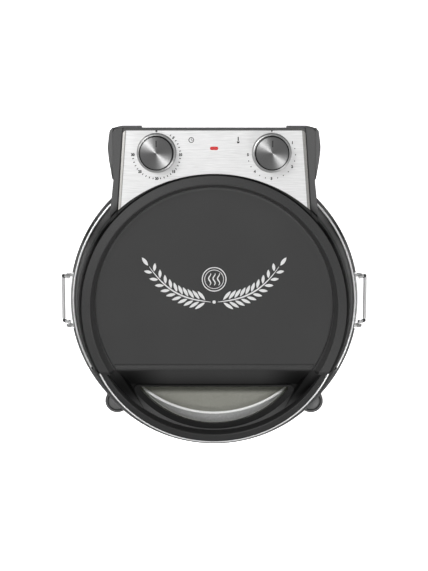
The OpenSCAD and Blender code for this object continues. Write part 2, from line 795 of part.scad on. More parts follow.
module lid_shell() color(dark_plastic) on_body() difference() {
    union() {
        difference() {
            union() {
                rotate_extrude() lid_ring_profile();
                difference() {
                    housing_outer();
                    translate([0, 0, 40]) cylinder(r = lip_r + 4.7, h = 100);
                }
            }
            // hollow of the housing, behind the inner ring wall
            difference() {
                housing_inner();
                translate([0, 0, 40]) cylinder(r = lip_r + 3.2, h = 100);
                ring_body(0, ledge_z);
            }
        }
        // inner ring wall that closes the front of the housing
        intersection() {
            difference() {
                translate([0, 0, ledge_z - 2.5]) cylinder(r = lip_r + 3.2, h = panel_z - 0.5 - ledge_z + 2.5);
                translate([0, 0, 40]) cylinder(r = lip_r, h = 100);
            }
            linear_extrude(200) housing_plan(1, 7);
        }
        both_sides() hinge_boss(9, tower_inner - 13, cheek_half - 0.5);
    }
    // opening under the control panel
    translate([0, 0, panel_z - 8]) linear_extrude(20) difference() {
        square([2 * (panel_half - 5.4), 2 * (hinge_y + housing_rear - rear_band - 4)], center = true);
        translate([-200, -200]) square([400, 300]);
        circle(r = lip_r + 3.2);
    }
    translate([0, 0, panel_z - panel_t - eps]) linear_extrude(20) union() {
        panel_opening(-0.3);
        intersection() {
            circle(r = lip_r + 4);
            translate([-113, 108]) square([226, 100]);
        }
    }
    // dark groove along each side of the panel
    translate([0, 0, panel_z - 2.4]) linear_extrude(20) difference() {
        panel_opening(0, panel_groove);
        panel_opening(0, 0);
    }
    both_sides() hinge_boss(pin_r + run_fit, tower_inner - 14, tower_inner + 5);
    handle_zone(wrap_h);
    lid_screw_places() cylinder(r = 2.05, h = 2.1);
}

// Outline of the control panel, drawn in by inset and widened on both sides
module panel_opening(inset, wider = 0) {
    rear = hinge_y + housing_rear - rear_band - inset;
    front = 90;
    side_rear = panel_side(rear) - inset + wider;
    side_front = panel_side(front) - inset + wider;
    corner = 4;
    difference() {
        polygon(concat(
            [[-side_front, front], [side_front, front]],
            arc(side_rear - corner, rear - corner, corner, 0, 90, 8),
            arc(-side_rear + corner, rear - corner, corner, 90, 180, 8)
        ));
        translate([0, panel_front_y]) circle(r = panel_front_r + inset, $fn = 240);
    }
}

module cover_outer() {
    rotate_extrude() polygon([
        [0, ledge_z],
        [cover_r, ledge_z],
        [cover_r, cover_top_in - 0.9],
        [cover_r - 0.8, cover_top_in],
        [crown_in_r + 1.6, crown_z],
        [crown_in_r + 0.5, crown_z - 0.3],
        [crown_in_r, crown_z - 1.1],
        [crown_in_r - 3.2, groove_z + 1.2],
        [crown_in_r - 4.2, groove_z],
        [0, groove_z]
    ]);
    translate([0, plateau_shift, 0]) rotate_extrude() polygon(concat(
        [
            [0, groove_z - 0.5],
            [plateau_r + 0.4, groove_z - 0.5],
            [plateau_r, groove_z + 0.4],
            [plateau_r - 0.5, groove_z + 1.2]
        ],
        arc(plateau_r - 3, plateau_z - 2.6, 2.6, 40, 90, 6),
        [[0, plateau_z]]
    ));
}

module cover_inner() {
    rotate_extrude() polygon([
        [0, ledge_z - 5],
        [cover_r - cover_t, ledge_z - 5],
        [cover_r - cover_t, cover_top_in - cover_t],
        [crown_in_r + cover_t, crown_z - 2 * cover_t],
        [crown_in_r + cover_t - 3.4, groove_z - cover_t],
        [0, groove_z - cover_t]
    ]);
    translate([0, plateau_shift, 0]) rotate_extrude() polygon([
        [0, groove_z - cover_t - 2],
        [plateau_r - 3.2, groove_z - cover_t - 2],
        [plateau_r - 3.2, plateau_z - cover_t - 1.2],
        [plateau_r - 4.4, plateau_z - cover_t],
        [0, plateau_z - cover_t]
    ]);
}

// What the handle takes away from the cover, outside the front wall of the recess
module under_handle(grow) {
    difference() {
        handle_zone(-grow, grow);
        on_front() translate([0, front_arc_y, -20]) cylinder(r = front_arc_r - 0.15 - grow, h = 100);
    }
}

// A plane that leans back from the side wall of the recess
module side_cut(grow) {
    rotate([0, 0, -side_turn]) rotate([90, 0, 0]) translate([0, 0, -200]) linear_extrude(400)
        polygon([[-300, -grow], [side_reach + grow, -grow], [side_reach + 5 + grow, 14], [side_reach + 5, 60],
                 [-300, 60]]);
}

// The space of the window recess, grown by the sheet thickness for its back side
module recess_space(grow) {
    on_front() intersection() {
        translate([0, front_arc_y, -grow]) cylinder(r = front_arc_r + grow, h = 80);
        // rear slope, rounded crest and the shallow groove behind it
        translate([-150, 0, 0]) rotate([90, 0, 90]) linear_extrude(300) polygon([
            [-30, -grow],
            [recess_len + grow * 0.6, -grow],
            [recess_len + 21.3 + grow * 0.6, 9.56 - grow],
            [recess_len + 22.3 + grow * 0.6, 10.1 - grow],
            [recess_len + 23.8 + grow * 0.6, 10.4 - grow],
            [recess_len + 25 + grow * 0.6, 10.3 - grow],
            [recess_len + 26.5 + grow * 0.6, 9.7 - grow],
            [recess_len + 27.5 + grow * 0.6, 9.1 - grow],
            [recess_len + 28.3 + grow * 0.6, 9.1 - grow],
            [recess_len + 29.8 + grow * 0.6, 9.9 - grow],
            [recess_len + 30.6 + grow * 0.6, 10.1 - grow],
            [recess_len + 33, 13 - grow],
            [recess_len + 60, 60],
            [-30, 60]
        ]);
        side_cut(grow);
        mirror([1, 0, 0]) side_cut(grow);
    }
    // shoulders that run down from the groove to the front wall
    both_sides() on_front() intersection() {
        translate([0, front_arc_y, -grow]) cylinder(r = front_arc_r + grow, h = 80);
        translate([shoulder_x, 0, 0]) rotate([90, 0, 90]) linear_extrude(60)
            polygon([[shoulder_start, -grow], [handle_len - 1.6 + grow, shoulder_end - grow],
                     [handle_len - 1.6 + grow, 60], [shoulder_start, 60]]);
    }
}

module lid_cover() color(lid_paint) on_body() difference() {
    cover_outer();
    recess_space(0);
    under_handle(0);
    difference() {
        cover_inner();
        recess_space(cover_t);
        under_handle(cover_t);
    }
    // window hole in the recess floor
    on_front() translate([0, 0, -10]) linear_extrude(20)
        window_shape(glass_rebate + skirt_wall + 0.3, recess_len - 1.2, 4.2);
}

module lid_trim_ring() color(chrome) on_body() rotate_extrude()
    translate([ring_foot_r + 1.4, lid_low_z + flange_t + 1.2]) circle(r = 1.2, $fn = 32);

module lid_liner() color(bright_steel) on_body() difference() {
    rotate_extrude() polygon([
        [0, liner_z - 1.2],
        [cover_r - 5.5, liner_z - 1.2],
        [cover_r - 3.6, liner_z - 3],
        [cover_r - 1.4, lid_low_z + 4.2],
        [flange_r - 9, lid_low_z + flange_t - 1.2],
        [flange_r - 8.2, lid_low_z + flange_t - 1.2],
        [flange_r - 8.2, lid_low_z + flange_t],
        [flange_r - 9.5, lid_low_z + flange_t],
        [cover_r - 0.4, lid_low_z + 5.4],
        [cover_r - 3.4, ledge_z - 3.2],
        [cover_r - 4.8, liner_z],
        [0, liner_z]
    ]);
    on_front() translate([0, 0, -30]) linear_extrude(40)
        window_shape(glass_rebate - 0.5, recess_len - 3, 4);
    both_sides() translate([heater_lead_x, upper_lead_y - 0.5, 60]) cylinder(r = heater_tube_r + 0.4, h = 60);
}

module upper_heater() color(dull_steel) on_body() translate([0, 0, upper_heater_z]) {
    heater_ring(upper_ring_r);
    both_sides() translate([heater_lead_x, upper_lead_y - 0.5, 0]) union() {
        sphere(r = heater_tube_r, $fn = 32);
        cylinder(r = heater_tube_r, h = 17);
        cylinder(r = 1.2, h = 22);
    }
}

module upper_heater_clips() color(bright_steel) on_body()
    for (a = [30, 150, 270]) rotate([0, 0, a]) translate([0, 0, upper_heater_z]) mirror([0, 0, 1])
        clip(upper_ring_r, liner_z - 1.2 - upper_heater_z);

module guard_ring() color(chrome) on_body() {
    rotate_extrude() translate([guard_r, liner_z - 7]) circle(r = guard_wire, $fn = 32);
    for (a = [45 : 90 : 315]) rotate([0, 0, a]) translate([guard_r - 0.8, -3, liner_z - 7])
        cube([1.6, 6, 5.8]);
}

module window_frame() color(black_plastic) on_body() difference() {
    union() {
        on_front() linear_extrude(frame_proud)
            polygon(segment(frame_r, frame_arc_y, recess_len, 6));
        intersection() {
            on_front() translate([0, 0, -30]) linear_extrude(30)
                window_shape(glass_rebate + skirt_wall, recess_len - 1.5, 4);
            translate([-150, -200, liner_z]) cube([300, 200, 60]);
        }
    }
    on_front() translate([0, 0, -5]) linear_extrude(20) window_shape(0, recess_len - rear_bar, 2);
    on_front() translate([0, 0, -40]) linear_extrude(40 + frame_proud - lip_t)
        window_shape(glass_rebate, recess_len - rear_bar, 3);
}

module window_glass() color("#7d8078", 0.6) on_body() on_front()
    translate([0, 0, frame_proud - lip_t - glass_t]) linear_extrude(glass_t)
        window_shape(glass_rebate - 0.1, recess_len - rear_bar - 0.1, 2.9);

// Handle: a crescent that closes the recess at the front, with a finger lip outside
module handle_body() difference() {
    translate([0, handle_arc_y, 0]) rotate_extrude() polygon([
        [100, 0.2],
        [handle_r - 1, 0.2],
        [handle_r + 2.4, -1.6],
        [handle_r + 5.4, -3.2],
        [handle_r + 7.2, -6],
        [handle_r + 8, -9],
        [handle_r + 8.6, -10.6],
        [handle_r + 9.4, -11.3],
        [handle_r + 10.4, -11.2],
        [handle_r + 11, -10.2],
        [handle_r + 10.8, -8.4],
        [handle_r + 9, -4.8],
        [handle_r + 6.4, -0.6],
        [handle_r + 3.4, 3],
        [handle_r + 1.2, handle_h - 6.5],
        [handle_r + 0.5, handle_h - 2 - trim_h],
        [handle_r - 1.8, handle_h - 2 - trim_h],
        [handle_r - 1.8, handle_h - 1.6],
        [handle_r - 2.6, handle_h - 0.5],
        [handle_r - 3.8, handle_h],
        [100, handle_h]
    ]);
    // inner face with a rounded upper edge
    translate([0, front_arc_y, -60]) cylinder(r = front_arc_r, h = 120);
    translate([0, front_arc_y, handle_h]) rotate_extrude() difference() {
        translate([front_arc_r - 5, -handle_edge]) square([5 + handle_edge, 4]);
        translate([front_arc_r + handle_edge, -handle_edge]) circle(r = handle_edge, $fn = 32);
    }
    // rounded ends
    translate([-200, handle_len - end_r, -60]) difference() {
        cube([400, 300, 120]);
        for (s = [-1, 1]) translate([200 + s * end_x, 0, -1]) cylinder(r = end_r, h = 122);
    }
}

module handle_bar() color(dark_plastic) on_body() difference() {
    on_front() handle_body();
    // the wall of the lid shell, which the handle grips
    difference() {
        ring_body(0.15, 112);
        translate([0, 0, ledge_z + 0.1]) cylinder(r = 90, h = 1);
        rotate_extrude() polygon([
            [0, ledge_z + 0.1],
            [cover_r + 0.6, ledge_z + 0.1],
            [ring_r(ledge_z) - shell_wall, ledge_z + 0.1],
            [ring_r(90) - shell_wall + 0.3, 90],
            [ring_r(104) - shell_wall + 0.3, 104],
            [ring_r(104) - shell_wall + 0.3, 120],
            [0, 120]
        ]);
        handle_zone(wrap_h + 0.1);
    }
}

module handle_trim() color(chrome) on_body() on_front() difference() {
    translate([0, handle_arc_y, handle_h - 2 - trim_h]) rotate_extrude()
        polygon([[handle_r - 1.8, 0], [handle_r + 0.4, 0], [handle_r + 0.2, trim_h - 0.8],
                 [handle_r - 0.4, trim_h - 0.1], [handle_r - 1.1, trim_h + 0.1], [handle_r - 1.8, trim_h]]);
    translate([-200, handle_len - 4.5, -60]) cube([400, 300, 120]);
}

// Control panel and what it carries

module lozenge(w, h) {
    square([w - h, h], center = true);
    for (s = [-1, 1]) translate([s * (w - h) / 2, 0]) circle(d = h, $fn = 24);
}

module control_panel() color(bright_steel) on_body() difference() {
    union() {
        translate([0, 0, panel_z - panel_t]) linear_extrude(panel_t) panel_opening(0);
    }
    both_sides() translate([knob_x, knob_y, panel_z - 5]) cylinder(r = bush_r + 0.1, h = 10);
    translate([0, indicator_y, panel_z - 5]) linear_extrude(10) lozenge(indicator_w, indicator_h);
    // bevels of the two side edges
    both_sides() translate([panel_half - bevel_w, hinge_y, panel_z]) rotate([0, 0, atan(panel_taper)])
        rotate([0, bevel_turn, 0]) translate([0, -150, 0]) cube([20, 300, 8]);
}

module housing_cover() color(dark_plastic) on_body() difference() {
    translate([0, 0, hinge_z - housing_rear]) linear_extrude(2.2) intersection() {
        housing_plan(shell_wall + 0.2, 5);
        translate([-150, 90]) square([300, hinge_y - 90.2]);
    }
    translate([0, 0, 40]) cylinder(r = ring_r(hinge_z - housing_rear) + 1.2, h = 100);
    for (i = [-6 : 6]) translate([i * 8 - 1.5, hinge_y - 9, 40]) cube([3, 6, 60]);
}

module rotary_unit() difference() {
    union() {
        translate([-unit_half, -unit_half, panel_z - panel_t - unit_drop])
            cube([2 * unit_half, 2 * unit_half, unit_drop]);
        translate([0, 0, panel_z - panel_t - eps]) cylinder(r = bush_r, h = panel_t + 0.3);
        for (s = [-1, 1]) translate([s * 10 - 2, -0.4, panel_z - panel_t - unit_drop - 6]) cube([4, 0.8, 7]);
    }
    translate([0, 0, panel_z - 16]) cylinder(r = shaft_r + run_fit, h = 40);
}

module timer_unit() color("#cfcfcf") on_body() translate([-knob_x, knob_y, 0]) rotary_unit();

module thermostat_unit() color("#d8d2c4") on_body() translate([knob_x, knob_y, 0]) rotary_unit();

module thermostat_bulb() color("#b87333") on_body() translate([bulb_x, bulb_y, liner_z + bulb_r + 0.4]) union() {
    rotate([0, 90, 0]) cylinder(r = bulb_r, h = bulb_len, center = true);
    for (s = [-1, 1]) translate([s * bulb_len / 2, 0, 0]) sphere(r = bulb_r);
    for (s = [-1, 1]) translate([s * bulb_len * 0.3 - 1.5, -bulb_r - 1, -bulb_r - 0.4]) cube([3, 2 * bulb_r + 2, 0.8]);
}

module unit_nuts() color(dull_steel) on_body() both_sides() translate([knob_x, knob_y, 0])
    translate([0, 0, panel_z - panel_t - unit_drop - 2.4]) difference() {
        cylinder(r = 5, h = 2.4, $fn = 6);
        translate([0, 0, -1]) cylinder(r = 2, h = 5);
    }

module indicator_lens() color(lamp_red) on_body() translate([0, indicator_y, panel_z - panel_t]) {
    linear_extrude(panel_t + 0.3) lozenge(indicator_w - 0.1, indicator_h - 0.1);
    translate([0, 0, panel_t + 0.3]) linear_extrude(0.5) lozenge(indicator_w - 1.3, indicator_h - 1.3);
    translate([0, 0, -1.4]) linear_extrude(1.4) lozenge(indicator_w + 2.6, indicator_h + 2.6);
}

module indicator_lamp() color("#e8dfc8") on_body() translate([0, indicator_y, panel_z - panel_t - 1.4]) {
    translate([0, 0, -14]) cylinder(r = 3, h = 14);
    translate([0, 0, -17]) cylinder(r = 4, h = 3.2);
}

module lid_screw_places() {
    for (a = [-150, -110, -70, -30, 30, 150]) rotate([0, 0, a])
        translate([flange_r - 4, 0, lid_low_z - eps]) children();
}

module lid_screws() color(dull_steel) on_body() lid_screw_places() cylinder(r = 2, h = 2, $fn = 32);

// Knobs

module skirt() translate([0, 0, panel_z + knob_gap]) rotate_extrude() polygon([
    [shaft_r, 0],
    [skirt_r - 0.4, 0],
    [skirt_r, 0.4],
    [skirt_r, 1],
    [skirt_r - 0.6, 2],
    [knob_r + 1.2, skirt_h - 0.4],
    [knob_r + 0.4, skirt_h],
    [shaft_r, skirt_h]
]);

module cap() translate([0, 0, cap_z]) rotate_extrude() polygon([
    [shaft_r, 0],
    [knob_r, 0],
    [knob_r - 0.3, knob_h - 1.6],
    [knob_r - 0.6, knob_h - 0.8],
    [knob_r - 1.4, knob_h - 0.3],
    [knob_r - 1.9, knob_h - 0.3],
    [knob_r - 2.2, knob_h],
    [0, knob_h],
    [0, knob_h - 3.5],
    [shaft_r, knob_h - 3.5]
]);

module shaft() translate([0, 0, panel_z - 14]) cylinder(r = shaft_r, h = 14 + knob_gap + skirt_h + knob_h - 3.5);

module at_timer() on_body() translate([-knob_x, knob_y, 0]) children();
module at_thermostat() on_body() translate([knob_x, knob_y, 0]) children();

module timer_skirt() color(chrome) at_timer() skirt();
module timer_cap() color(dull_steel) at_timer() cap();
module timer_shaft() color(bright_steel) at_timer() shaft();
module thermostat_skirt() color(chrome) at_thermostat() skirt();
module thermostat_cap() color(dull_steel) at_thermostat() cap();
module thermostat_shaft() color(bright_steel) at_thermostat() shaft();

base_shell();
base_bottom();
front_legs();
foot_pads();
rear_bridge();
bridge_cover();
left_hinge_tower();
right_hinge_tower();
hinge_pins();
cord_gland();
terminal_block();
reflector_dish();
lower_heater();
lower_heater_clips();
base_screws();
stone_carrier();
baking_stone();
left_bail();
right_bail();
lid_shell();
lid_cover();
lid_trim_ring();
lid_liner();
upper_heater();
upper_heater_clips();
guard_ring();
window_frame();
window_glass();
handle_bar();
handle_trim();
control_panel();
housing_cover();
timer_unit();
thermostat_unit();
thermostat_bulb();
unit_nuts();
indicator_lens();
indicator_lamp();
lid_screws();
timer_skirt();
timer_cap();
timer_shaft();
thermostat_skirt();
thermostat_cap();
thermostat_shaft();
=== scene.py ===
# %% [markdown]
# # A countertop pizza cooker
#
# The cooker comes from CAD as a frame of rigid pieces: base, lid, two knobs and two wire bails. This lesson
# gives those pieces their finishes, adds what is too thin for CAD, such as printed scales, and sets up the
# studio. Everything stays in the CAD's frame: metres, +Z up, the handle on the -Y side. The frame is loaded
# first, because all later places are read from it.

# %% Load the frame
import json
import math

import bpy
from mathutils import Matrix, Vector


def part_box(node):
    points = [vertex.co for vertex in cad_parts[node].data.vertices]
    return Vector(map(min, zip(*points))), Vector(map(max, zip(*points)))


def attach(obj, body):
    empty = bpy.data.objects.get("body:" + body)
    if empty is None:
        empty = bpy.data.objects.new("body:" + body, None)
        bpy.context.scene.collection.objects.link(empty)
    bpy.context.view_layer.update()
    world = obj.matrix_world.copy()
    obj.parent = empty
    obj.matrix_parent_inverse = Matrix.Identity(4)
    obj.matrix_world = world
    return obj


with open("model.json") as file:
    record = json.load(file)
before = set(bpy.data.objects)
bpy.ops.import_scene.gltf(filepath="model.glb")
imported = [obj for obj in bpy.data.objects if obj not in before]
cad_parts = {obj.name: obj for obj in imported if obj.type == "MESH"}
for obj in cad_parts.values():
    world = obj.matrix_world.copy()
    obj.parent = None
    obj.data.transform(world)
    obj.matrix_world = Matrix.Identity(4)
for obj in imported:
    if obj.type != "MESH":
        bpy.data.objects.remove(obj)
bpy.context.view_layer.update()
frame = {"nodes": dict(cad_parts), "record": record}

MM = 0.001

# %% [markdown]
# The body axis, which the round parts share, is the middle of the baking stone. These places could be
# typed in as numbers too, but read from the frame they follow the CAD when it changes.

# %% Places taken from the frame


def middle(node):
    low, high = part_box(node)
    return (low + high) / 2


stone_middle = middle("baking_stone")
axis = Vector((stone_middle.x, stone_middle.y, 0))
panel_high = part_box("control_panel")[1]
cover_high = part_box("lid_cover")[1]
glass_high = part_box("window_glass")[1]
print("body axis y (mm):", round(axis.y / MM, 2), "panel top z (mm):", round(panel_high.z / MM, 2))

# %% [markdown]
# ## Finishes
#
# A finish is a tree of shader nodes. Each node has to be made, set and joined to others, which takes many
# lines when it is written out. `put` does all three at once: an input is given as a plain value, or as the
# output of another node. A step in the script then reads like the node in the shader editor.

# %% Helpers for node trees


def put(tree, kind, inputs, **settings):
    """Adds a node; each input is a plain value, or an output socket that is joined to it."""
    node = tree.nodes.new("ShaderNode" + kind)
    for name, value in settings.items():
        setattr(node, name, value)
    for socket, value in inputs.items():
        if isinstance(value, bpy.types.NodeSocket):
            tree.links.new(value, node.inputs[socket])
        else:
            node.inputs[socket].default_value = value
    return node


def maths(tree, operation, *values):
    """One math node on numbers or sockets; gives its output."""
    return put(tree, "Math", dict(enumerate(values)), operation=operation).outputs[0]


def soft_step(tree, value, start, end):
    """0 at start, 1 at end, smooth between them."""
    span = {"Value": value, "From Min": start, "From Max": end}
    return put(tree, "MapRange", span, interpolation_type="SMOOTHSTEP").outputs["Result"]


def new_group(name, inputs, outputs):
    """An empty node group, with the sockets that bring its inputs in and those that take its results."""
    tree = bpy.data.node_groups.new(name, "ShaderNodeTree")
    for socket, default in inputs.items():
        item = tree.interface.new_socket(name=socket, in_out="INPUT", socket_type="NodeSocketFloat")
        item.default_value = default
    for socket in outputs:
        tree.interface.new_socket(name=socket, in_out="OUTPUT", socket_type="NodeSocketFloat")
    given, result = tree.nodes.new("NodeGroupInput"), tree.nodes.new("NodeGroupOutput")
    return tree, given.outputs, result.inputs


print("node groups so far:", len(bpy.data.node_groups))

# %% [markdown]
# A moulded or painted surface is never one flat colour: its grain scatters light, and its shade drifts a
# little from place to place. A picture of the surface would need unwrapping and would blur close by, so
# noise is used, fed by each piece's own coordinates. Many finishes need it, so it is one node group. It
# gives a shade and a height, and each material decides how strongly it uses them.

# %% Group: fine grain
PER_METRE = 1 / MM
CLOUDS_PER_METRE = 14.0


def fine_grain_group():
    tree, given, result = new_group("fine_grain", {"Grains per mm": 2.0, "Drift": 0.3}, ["Shade", "Height"])
    place = put(tree, "TexCoord", {}).outputs["Object"]
    density = maths(tree, "MULTIPLY", given["Grains per mm"], PER_METRE)
    grain = put(tree, "TexNoise", {"Scale": density, "Detail": 2.0, "Vector": place})
    cloud = put(tree, "TexNoise", {"Scale": CLOUDS_PER_METRE, "Detail": 1.0, "Vector": place})
    shades = {0: given["Drift"], 2: grain.outputs["Fac"], 3: cloud.outputs["Fac"]}
    mix = put(tree, "Mix", shades, data_type="FLOAT")
    tree.links.new(mix.outputs[0], result["Shade"])
    tree.links.new(grain.outputs["Fac"], result["Height"])
    return tree


FINE_GRAIN = fine_grain_group()
print("group:", FINE_GRAIN.name)

# %% [markdown]
# Brushed steel is the same idea stretched: noise that is long in the brushing direction and short across
# it. The panel is brushed from side to side, so the noise is squeezed along X only. Fine scratches made one
# by one would look no better from this distance.

# %% Group: brushed lines


def own_place(tree):
    """The X, Y and Z outputs of the piece's own coordinates."""
    return put(tree, "SeparateXYZ", {0: put(tree, "TexCoord", {}).outputs["Object"]}).outputs


def brushed_lines_group():
    defaults = {"Lines per mm": 1.5, "Length": 60.0}
    tree, given, result = new_group("brushed_lines", defaults, ["Shade", "Height"])
    place = own_place(tree)
    squeezed = maths(tree, "DIVIDE", place["X"], given["Length"])
    along = put(tree, "CombineXYZ", {"X": squeezed, "Y": place["Y"], "Z": place["Z"]}).outputs[0]
    density = maths(tree, "MULTIPLY", given["Lines per mm"], PER_METRE)
    lines = put(tree, "TexNoise", {"Scale": density, "Detail": 4.0, "Roughness": 0.6, "Vector": along})
    for socket in ("Shade", "Height"):
        tree.links.new(lines.outputs["Fac"], result[socket])
    return tree


BRUSHED = brushed_lines_group()
print("group:", BRUSHED.name)

# %% [markdown]
# Some finishes get painted shade or painted light by the place on a piece: a turned edge, a rolled rim, a
# deep corner. Three more groups give masks for that. One grows with the distance from a point in plan, one
# with the distance behind
# a line that runs across the cooker, and one follows a slanted side. Painted vertices would need a dense
# mesh, and a mask from coordinates needs none. X is mirrored, so each mask serves both halves.

# %% Groups: masks by place
NO_LIMIT = 9.0
LIMIT_SOFTNESS = 4 * MM


def mirrored_place(tree):
    place = own_place(tree)
    return maths(tree, "ABSOLUTE", place["X"]), place["Y"]


def near_point_group():
    """0 nearer than Near, 1 beyond Far, and 1 wherever Y is past the limit."""
    defaults = {"X": 0.0, "Y": 0.0, "Near": 0.01, "Far": 0.02, "Limit Y": NO_LIMIT}
    tree, given, result = new_group("near_point", defaults, ["Far mask"])
    x, y = mirrored_place(tree)
    dx = maths(tree, "SUBTRACT", x, given["X"])
    dy = maths(tree, "SUBTRACT", y, given["Y"])
    squares = maths(tree, "ADD", maths(tree, "MULTIPLY", dx, dx), maths(tree, "MULTIPLY", dy, dy))
    far = soft_step(tree, maths(tree, "SQRT", squares), given["Near"], given["Far"])
    behind = soft_step(tree, y, given["Limit Y"], maths(tree, "ADD", given["Limit Y"], LIMIT_SOFTNESS))
    tree.links.new(maths(tree, "MAXIMUM", far, behind), result["Far mask"])
    return tree


def behind_line_group():
    tree, given, result = new_group("behind_line", {"Start Y": 0.0, "End Y": 0.02}, ["Mask"])
    tree.links.new(soft_step(tree, own_place(tree)["Y"], given["Start Y"], given["End Y"]), result["Mask"])
    return tree


def side_strip_group():
    """A strip along a side that leans inwards by Taper towards +Y, and the line that bounds the strip."""
    defaults = {"Half width": 0.1, "Taper": 0.0, "Strip": 0.003, "Soft": 0.0004}
    tree, given, result = new_group("side_strip", defaults, ["Strip mask", "Line mask"])
    x, y = mirrored_place(tree)
    edge = maths(tree, "SUBTRACT", given["Half width"], maths(tree, "MULTIPLY", y, given["Taper"]))
    from_line = maths(tree, "SUBTRACT", maths(tree, "SUBTRACT", edge, x), given["Strip"])
    past_strip = soft_step(tree, from_line, 0.0, given["Soft"])
    line_width = maths(tree, "MULTIPLY", given["Soft"], 2.0)
    off_line = soft_step(tree, maths(tree, "ABSOLUTE", from_line), 0.0, line_width)
    tree.links.new(maths(tree, "SUBTRACT", 1.0, past_strip), result["Strip mask"])
    tree.links.new(maths(tree, "SUBTRACT", 1.0, off_line), result["Line mask"])
    return tree


NEAR_POINT, BEHIND_LINE, SIDE_STRIP = near_point_group(), behind_line_group(), side_strip_group()
print("masks:", NEAR_POINT.name, BEHIND_LINE.name, SIDE_STRIP.name)

# %% [markdown]
# A finish is then a short recipe: two shades of one colour, mixed by the group's Shade, a roughness that
# follows the same mask, and a bump from its Height. One recipe for all keeps them comparable, so that a
# darker plastic differs from a lighter one by two numbers only.

# %% Recipe for a finish
SHADE_ENDS = (0.3, 0.7)
RELIEF_DEPTH = 0.1 * MM


def screen_value(value):
    """A channel given as it looks on screen, from 0 to 255, turned into the linear value that shaders use."""
    c = value / 255
    return c / 12.92 if c <= 0.04045 else ((c + 0.055) / 1.055) ** 2.4


def rgb(red, green, blue):
    return (screen_value(red), screen_value(green), screen_value(blue), 1.0)


def grey(value):
    return rgb(value, value, value)


def finish(name, group, settings, dark, light, rough, bump=0.0, metallic=0.0, **extra):
    """A Principled material; extra holds more of its inputs, with _ for each space."""
    material = bpy.data.materials.new(name)
    material.use_nodes = True
    tree = material.node_tree
    shader = tree.nodes["Principled BSDF"]
    texture = put(tree, "Group", settings, node_tree=group).outputs
    ramp = put(tree, "ValToRGB", {"Fac": texture["Shade"]})
    for i, colour in enumerate((dark, light)):
        ramp.color_ramp.elements[i].position = SHADE_ENDS[i]
        ramp.color_ramp.elements[i].color = colour
    tree.links.new(ramp.outputs["Color"], shader.inputs["Base Color"])
    spread = put(tree, "MapRange", {"Value": texture["Shade"], "To Min": rough[0], "To Max": rough[1]})
    tree.links.new(spread.outputs["Result"], shader.inputs["Roughness"])
    if bump:
        relief = put(tree, "Bump", {"Strength": bump, "Distance": RELIEF_DEPTH, "Height": texture["Height"]})
        tree.links.new(relief.outputs["Normal"], shader.inputs["Normal"])
    shader.inputs["Metallic"].default_value = metallic
    for socket, value in extra.items():
        shader.inputs[socket.replace("_", " ")].default_value = value
    return material


print("grey 128 on screen is", round(grey(128)[0], 4), "in the shader")

# %% [markdown]
# The lid is sheet metal under a fine textured paint, the shell and the handle are dark grey plastic, and
# the hinge towers and feet are the same plastic with a little more gloss. Such surfaces hardly mirror
# anything, so their specular level is low and their roughness is near one half.

# %% Finishes: paint, plastic and rubber
MOULDED = {"Grains per mm": 1.6, "Drift": 0.3}
FINISH = {}


def keep(name, *recipe, **extra):
    FINISH[name] = finish(name, *recipe, **extra)


keep("shell_plastic", FINE_GRAIN, MOULDED, grey(92), grey(102), (0.5, 0.58), bump=0.12,
     Specular_IOR_Level=0.06)
keep("lid_paint", FINE_GRAIN, {"Grains per mm": 1.2, "Drift": 0.25}, grey(59), grey(69), (0.5, 0.58),
     bump=0.25, Specular_IOR_Level=0.12)
keep("housing_plastic", FINE_GRAIN, MOULDED, grey(92), grey(102), (0.42, 0.5), bump=0.12,
     Specular_IOR_Level=0.25)
keep("handle_plastic", FINE_GRAIN, MOULDED, grey(47), grey(55), (0.42, 0.5), bump=0.12,
     Specular_IOR_Level=0.12)
keep("black_plastic", FINE_GRAIN, MOULDED, grey(6), grey(10), (0.4, 0.5), bump=0.05, Specular_IOR_Level=0.2)
keep("pale_plastic", FINE_GRAIN, {"Grains per mm": 1.0, "Drift": 0.5},
     rgb(205, 198, 182), rgb(226, 220, 205), (0.45, 0.6))
keep("rubber", FINE_GRAIN, {"Grains per mm": 1.0, "Drift": 0.4}, grey(22), grey(30), (0.7, 0.85), bump=0.1)
print("finishes:", len(FINISH))

# %% [markdown]
# Bright parts are chromed, brushed or pressed steel. Full metal shows only what it mirrors, which leaves
# thin wires dark from most sides. The satin ones are therefore partly metallic, so that some of their own
# pale colour stays. The spun caps are anisotropic: the brushing runs in circles round each cap, so the
# highlight spreads outwards like a fan.

# %% Finishes: metals
POLISHED = {"Grains per mm": 0.4, "Drift": 0.8}
SHEET = {"Lines per mm": 1.0, "Length": 30.0}
keep("panel_steel", BRUSHED, {"Lines per mm": 2.4, "Length": 40.0}, grey(198), grey(224), (0.38, 0.5),
     bump=0.04, metallic=0.6)
keep("steel_sheet", BRUSHED, SHEET, grey(168), grey(192), (0.35, 0.45), bump=0.03, metallic=1.0)
keep("liner_steel", BRUSHED, SHEET, grey(190), grey(215), (0.35, 0.5), bump=0.03, metallic=0.8)
keep("heater_steel", FINE_GRAIN, {"Grains per mm": 0.5, "Drift": 0.6}, grey(80), grey(112), (0.45, 0.6),
     metallic=0.7)
keep("chrome", FINE_GRAIN, POLISHED, grey(222), grey(236), (0.06, 0.12), metallic=1.0)
keep("skirt_chrome", FINE_GRAIN, POLISHED, grey(176), grey(192), (0.3, 0.36), metallic=0.3)
keep("satin_chrome", FINE_GRAIN, POLISHED, grey(238), grey(250), (0.3, 0.4), metallic=0.5)
# The guard wire has a faint emission: a painted glow that keeps it a bright line through the glass.
keep("guard_wire", FINE_GRAIN, POLISHED, grey(248), grey(254), (0.4, 0.5), metallic=0.2,
     Emission_Color=(1, 1, 1, 1), Emission_Strength=0.3)
keep("bail_wire", FINE_GRAIN, POLISHED, grey(196), grey(214), (0.3, 0.4), metallic=0.15)
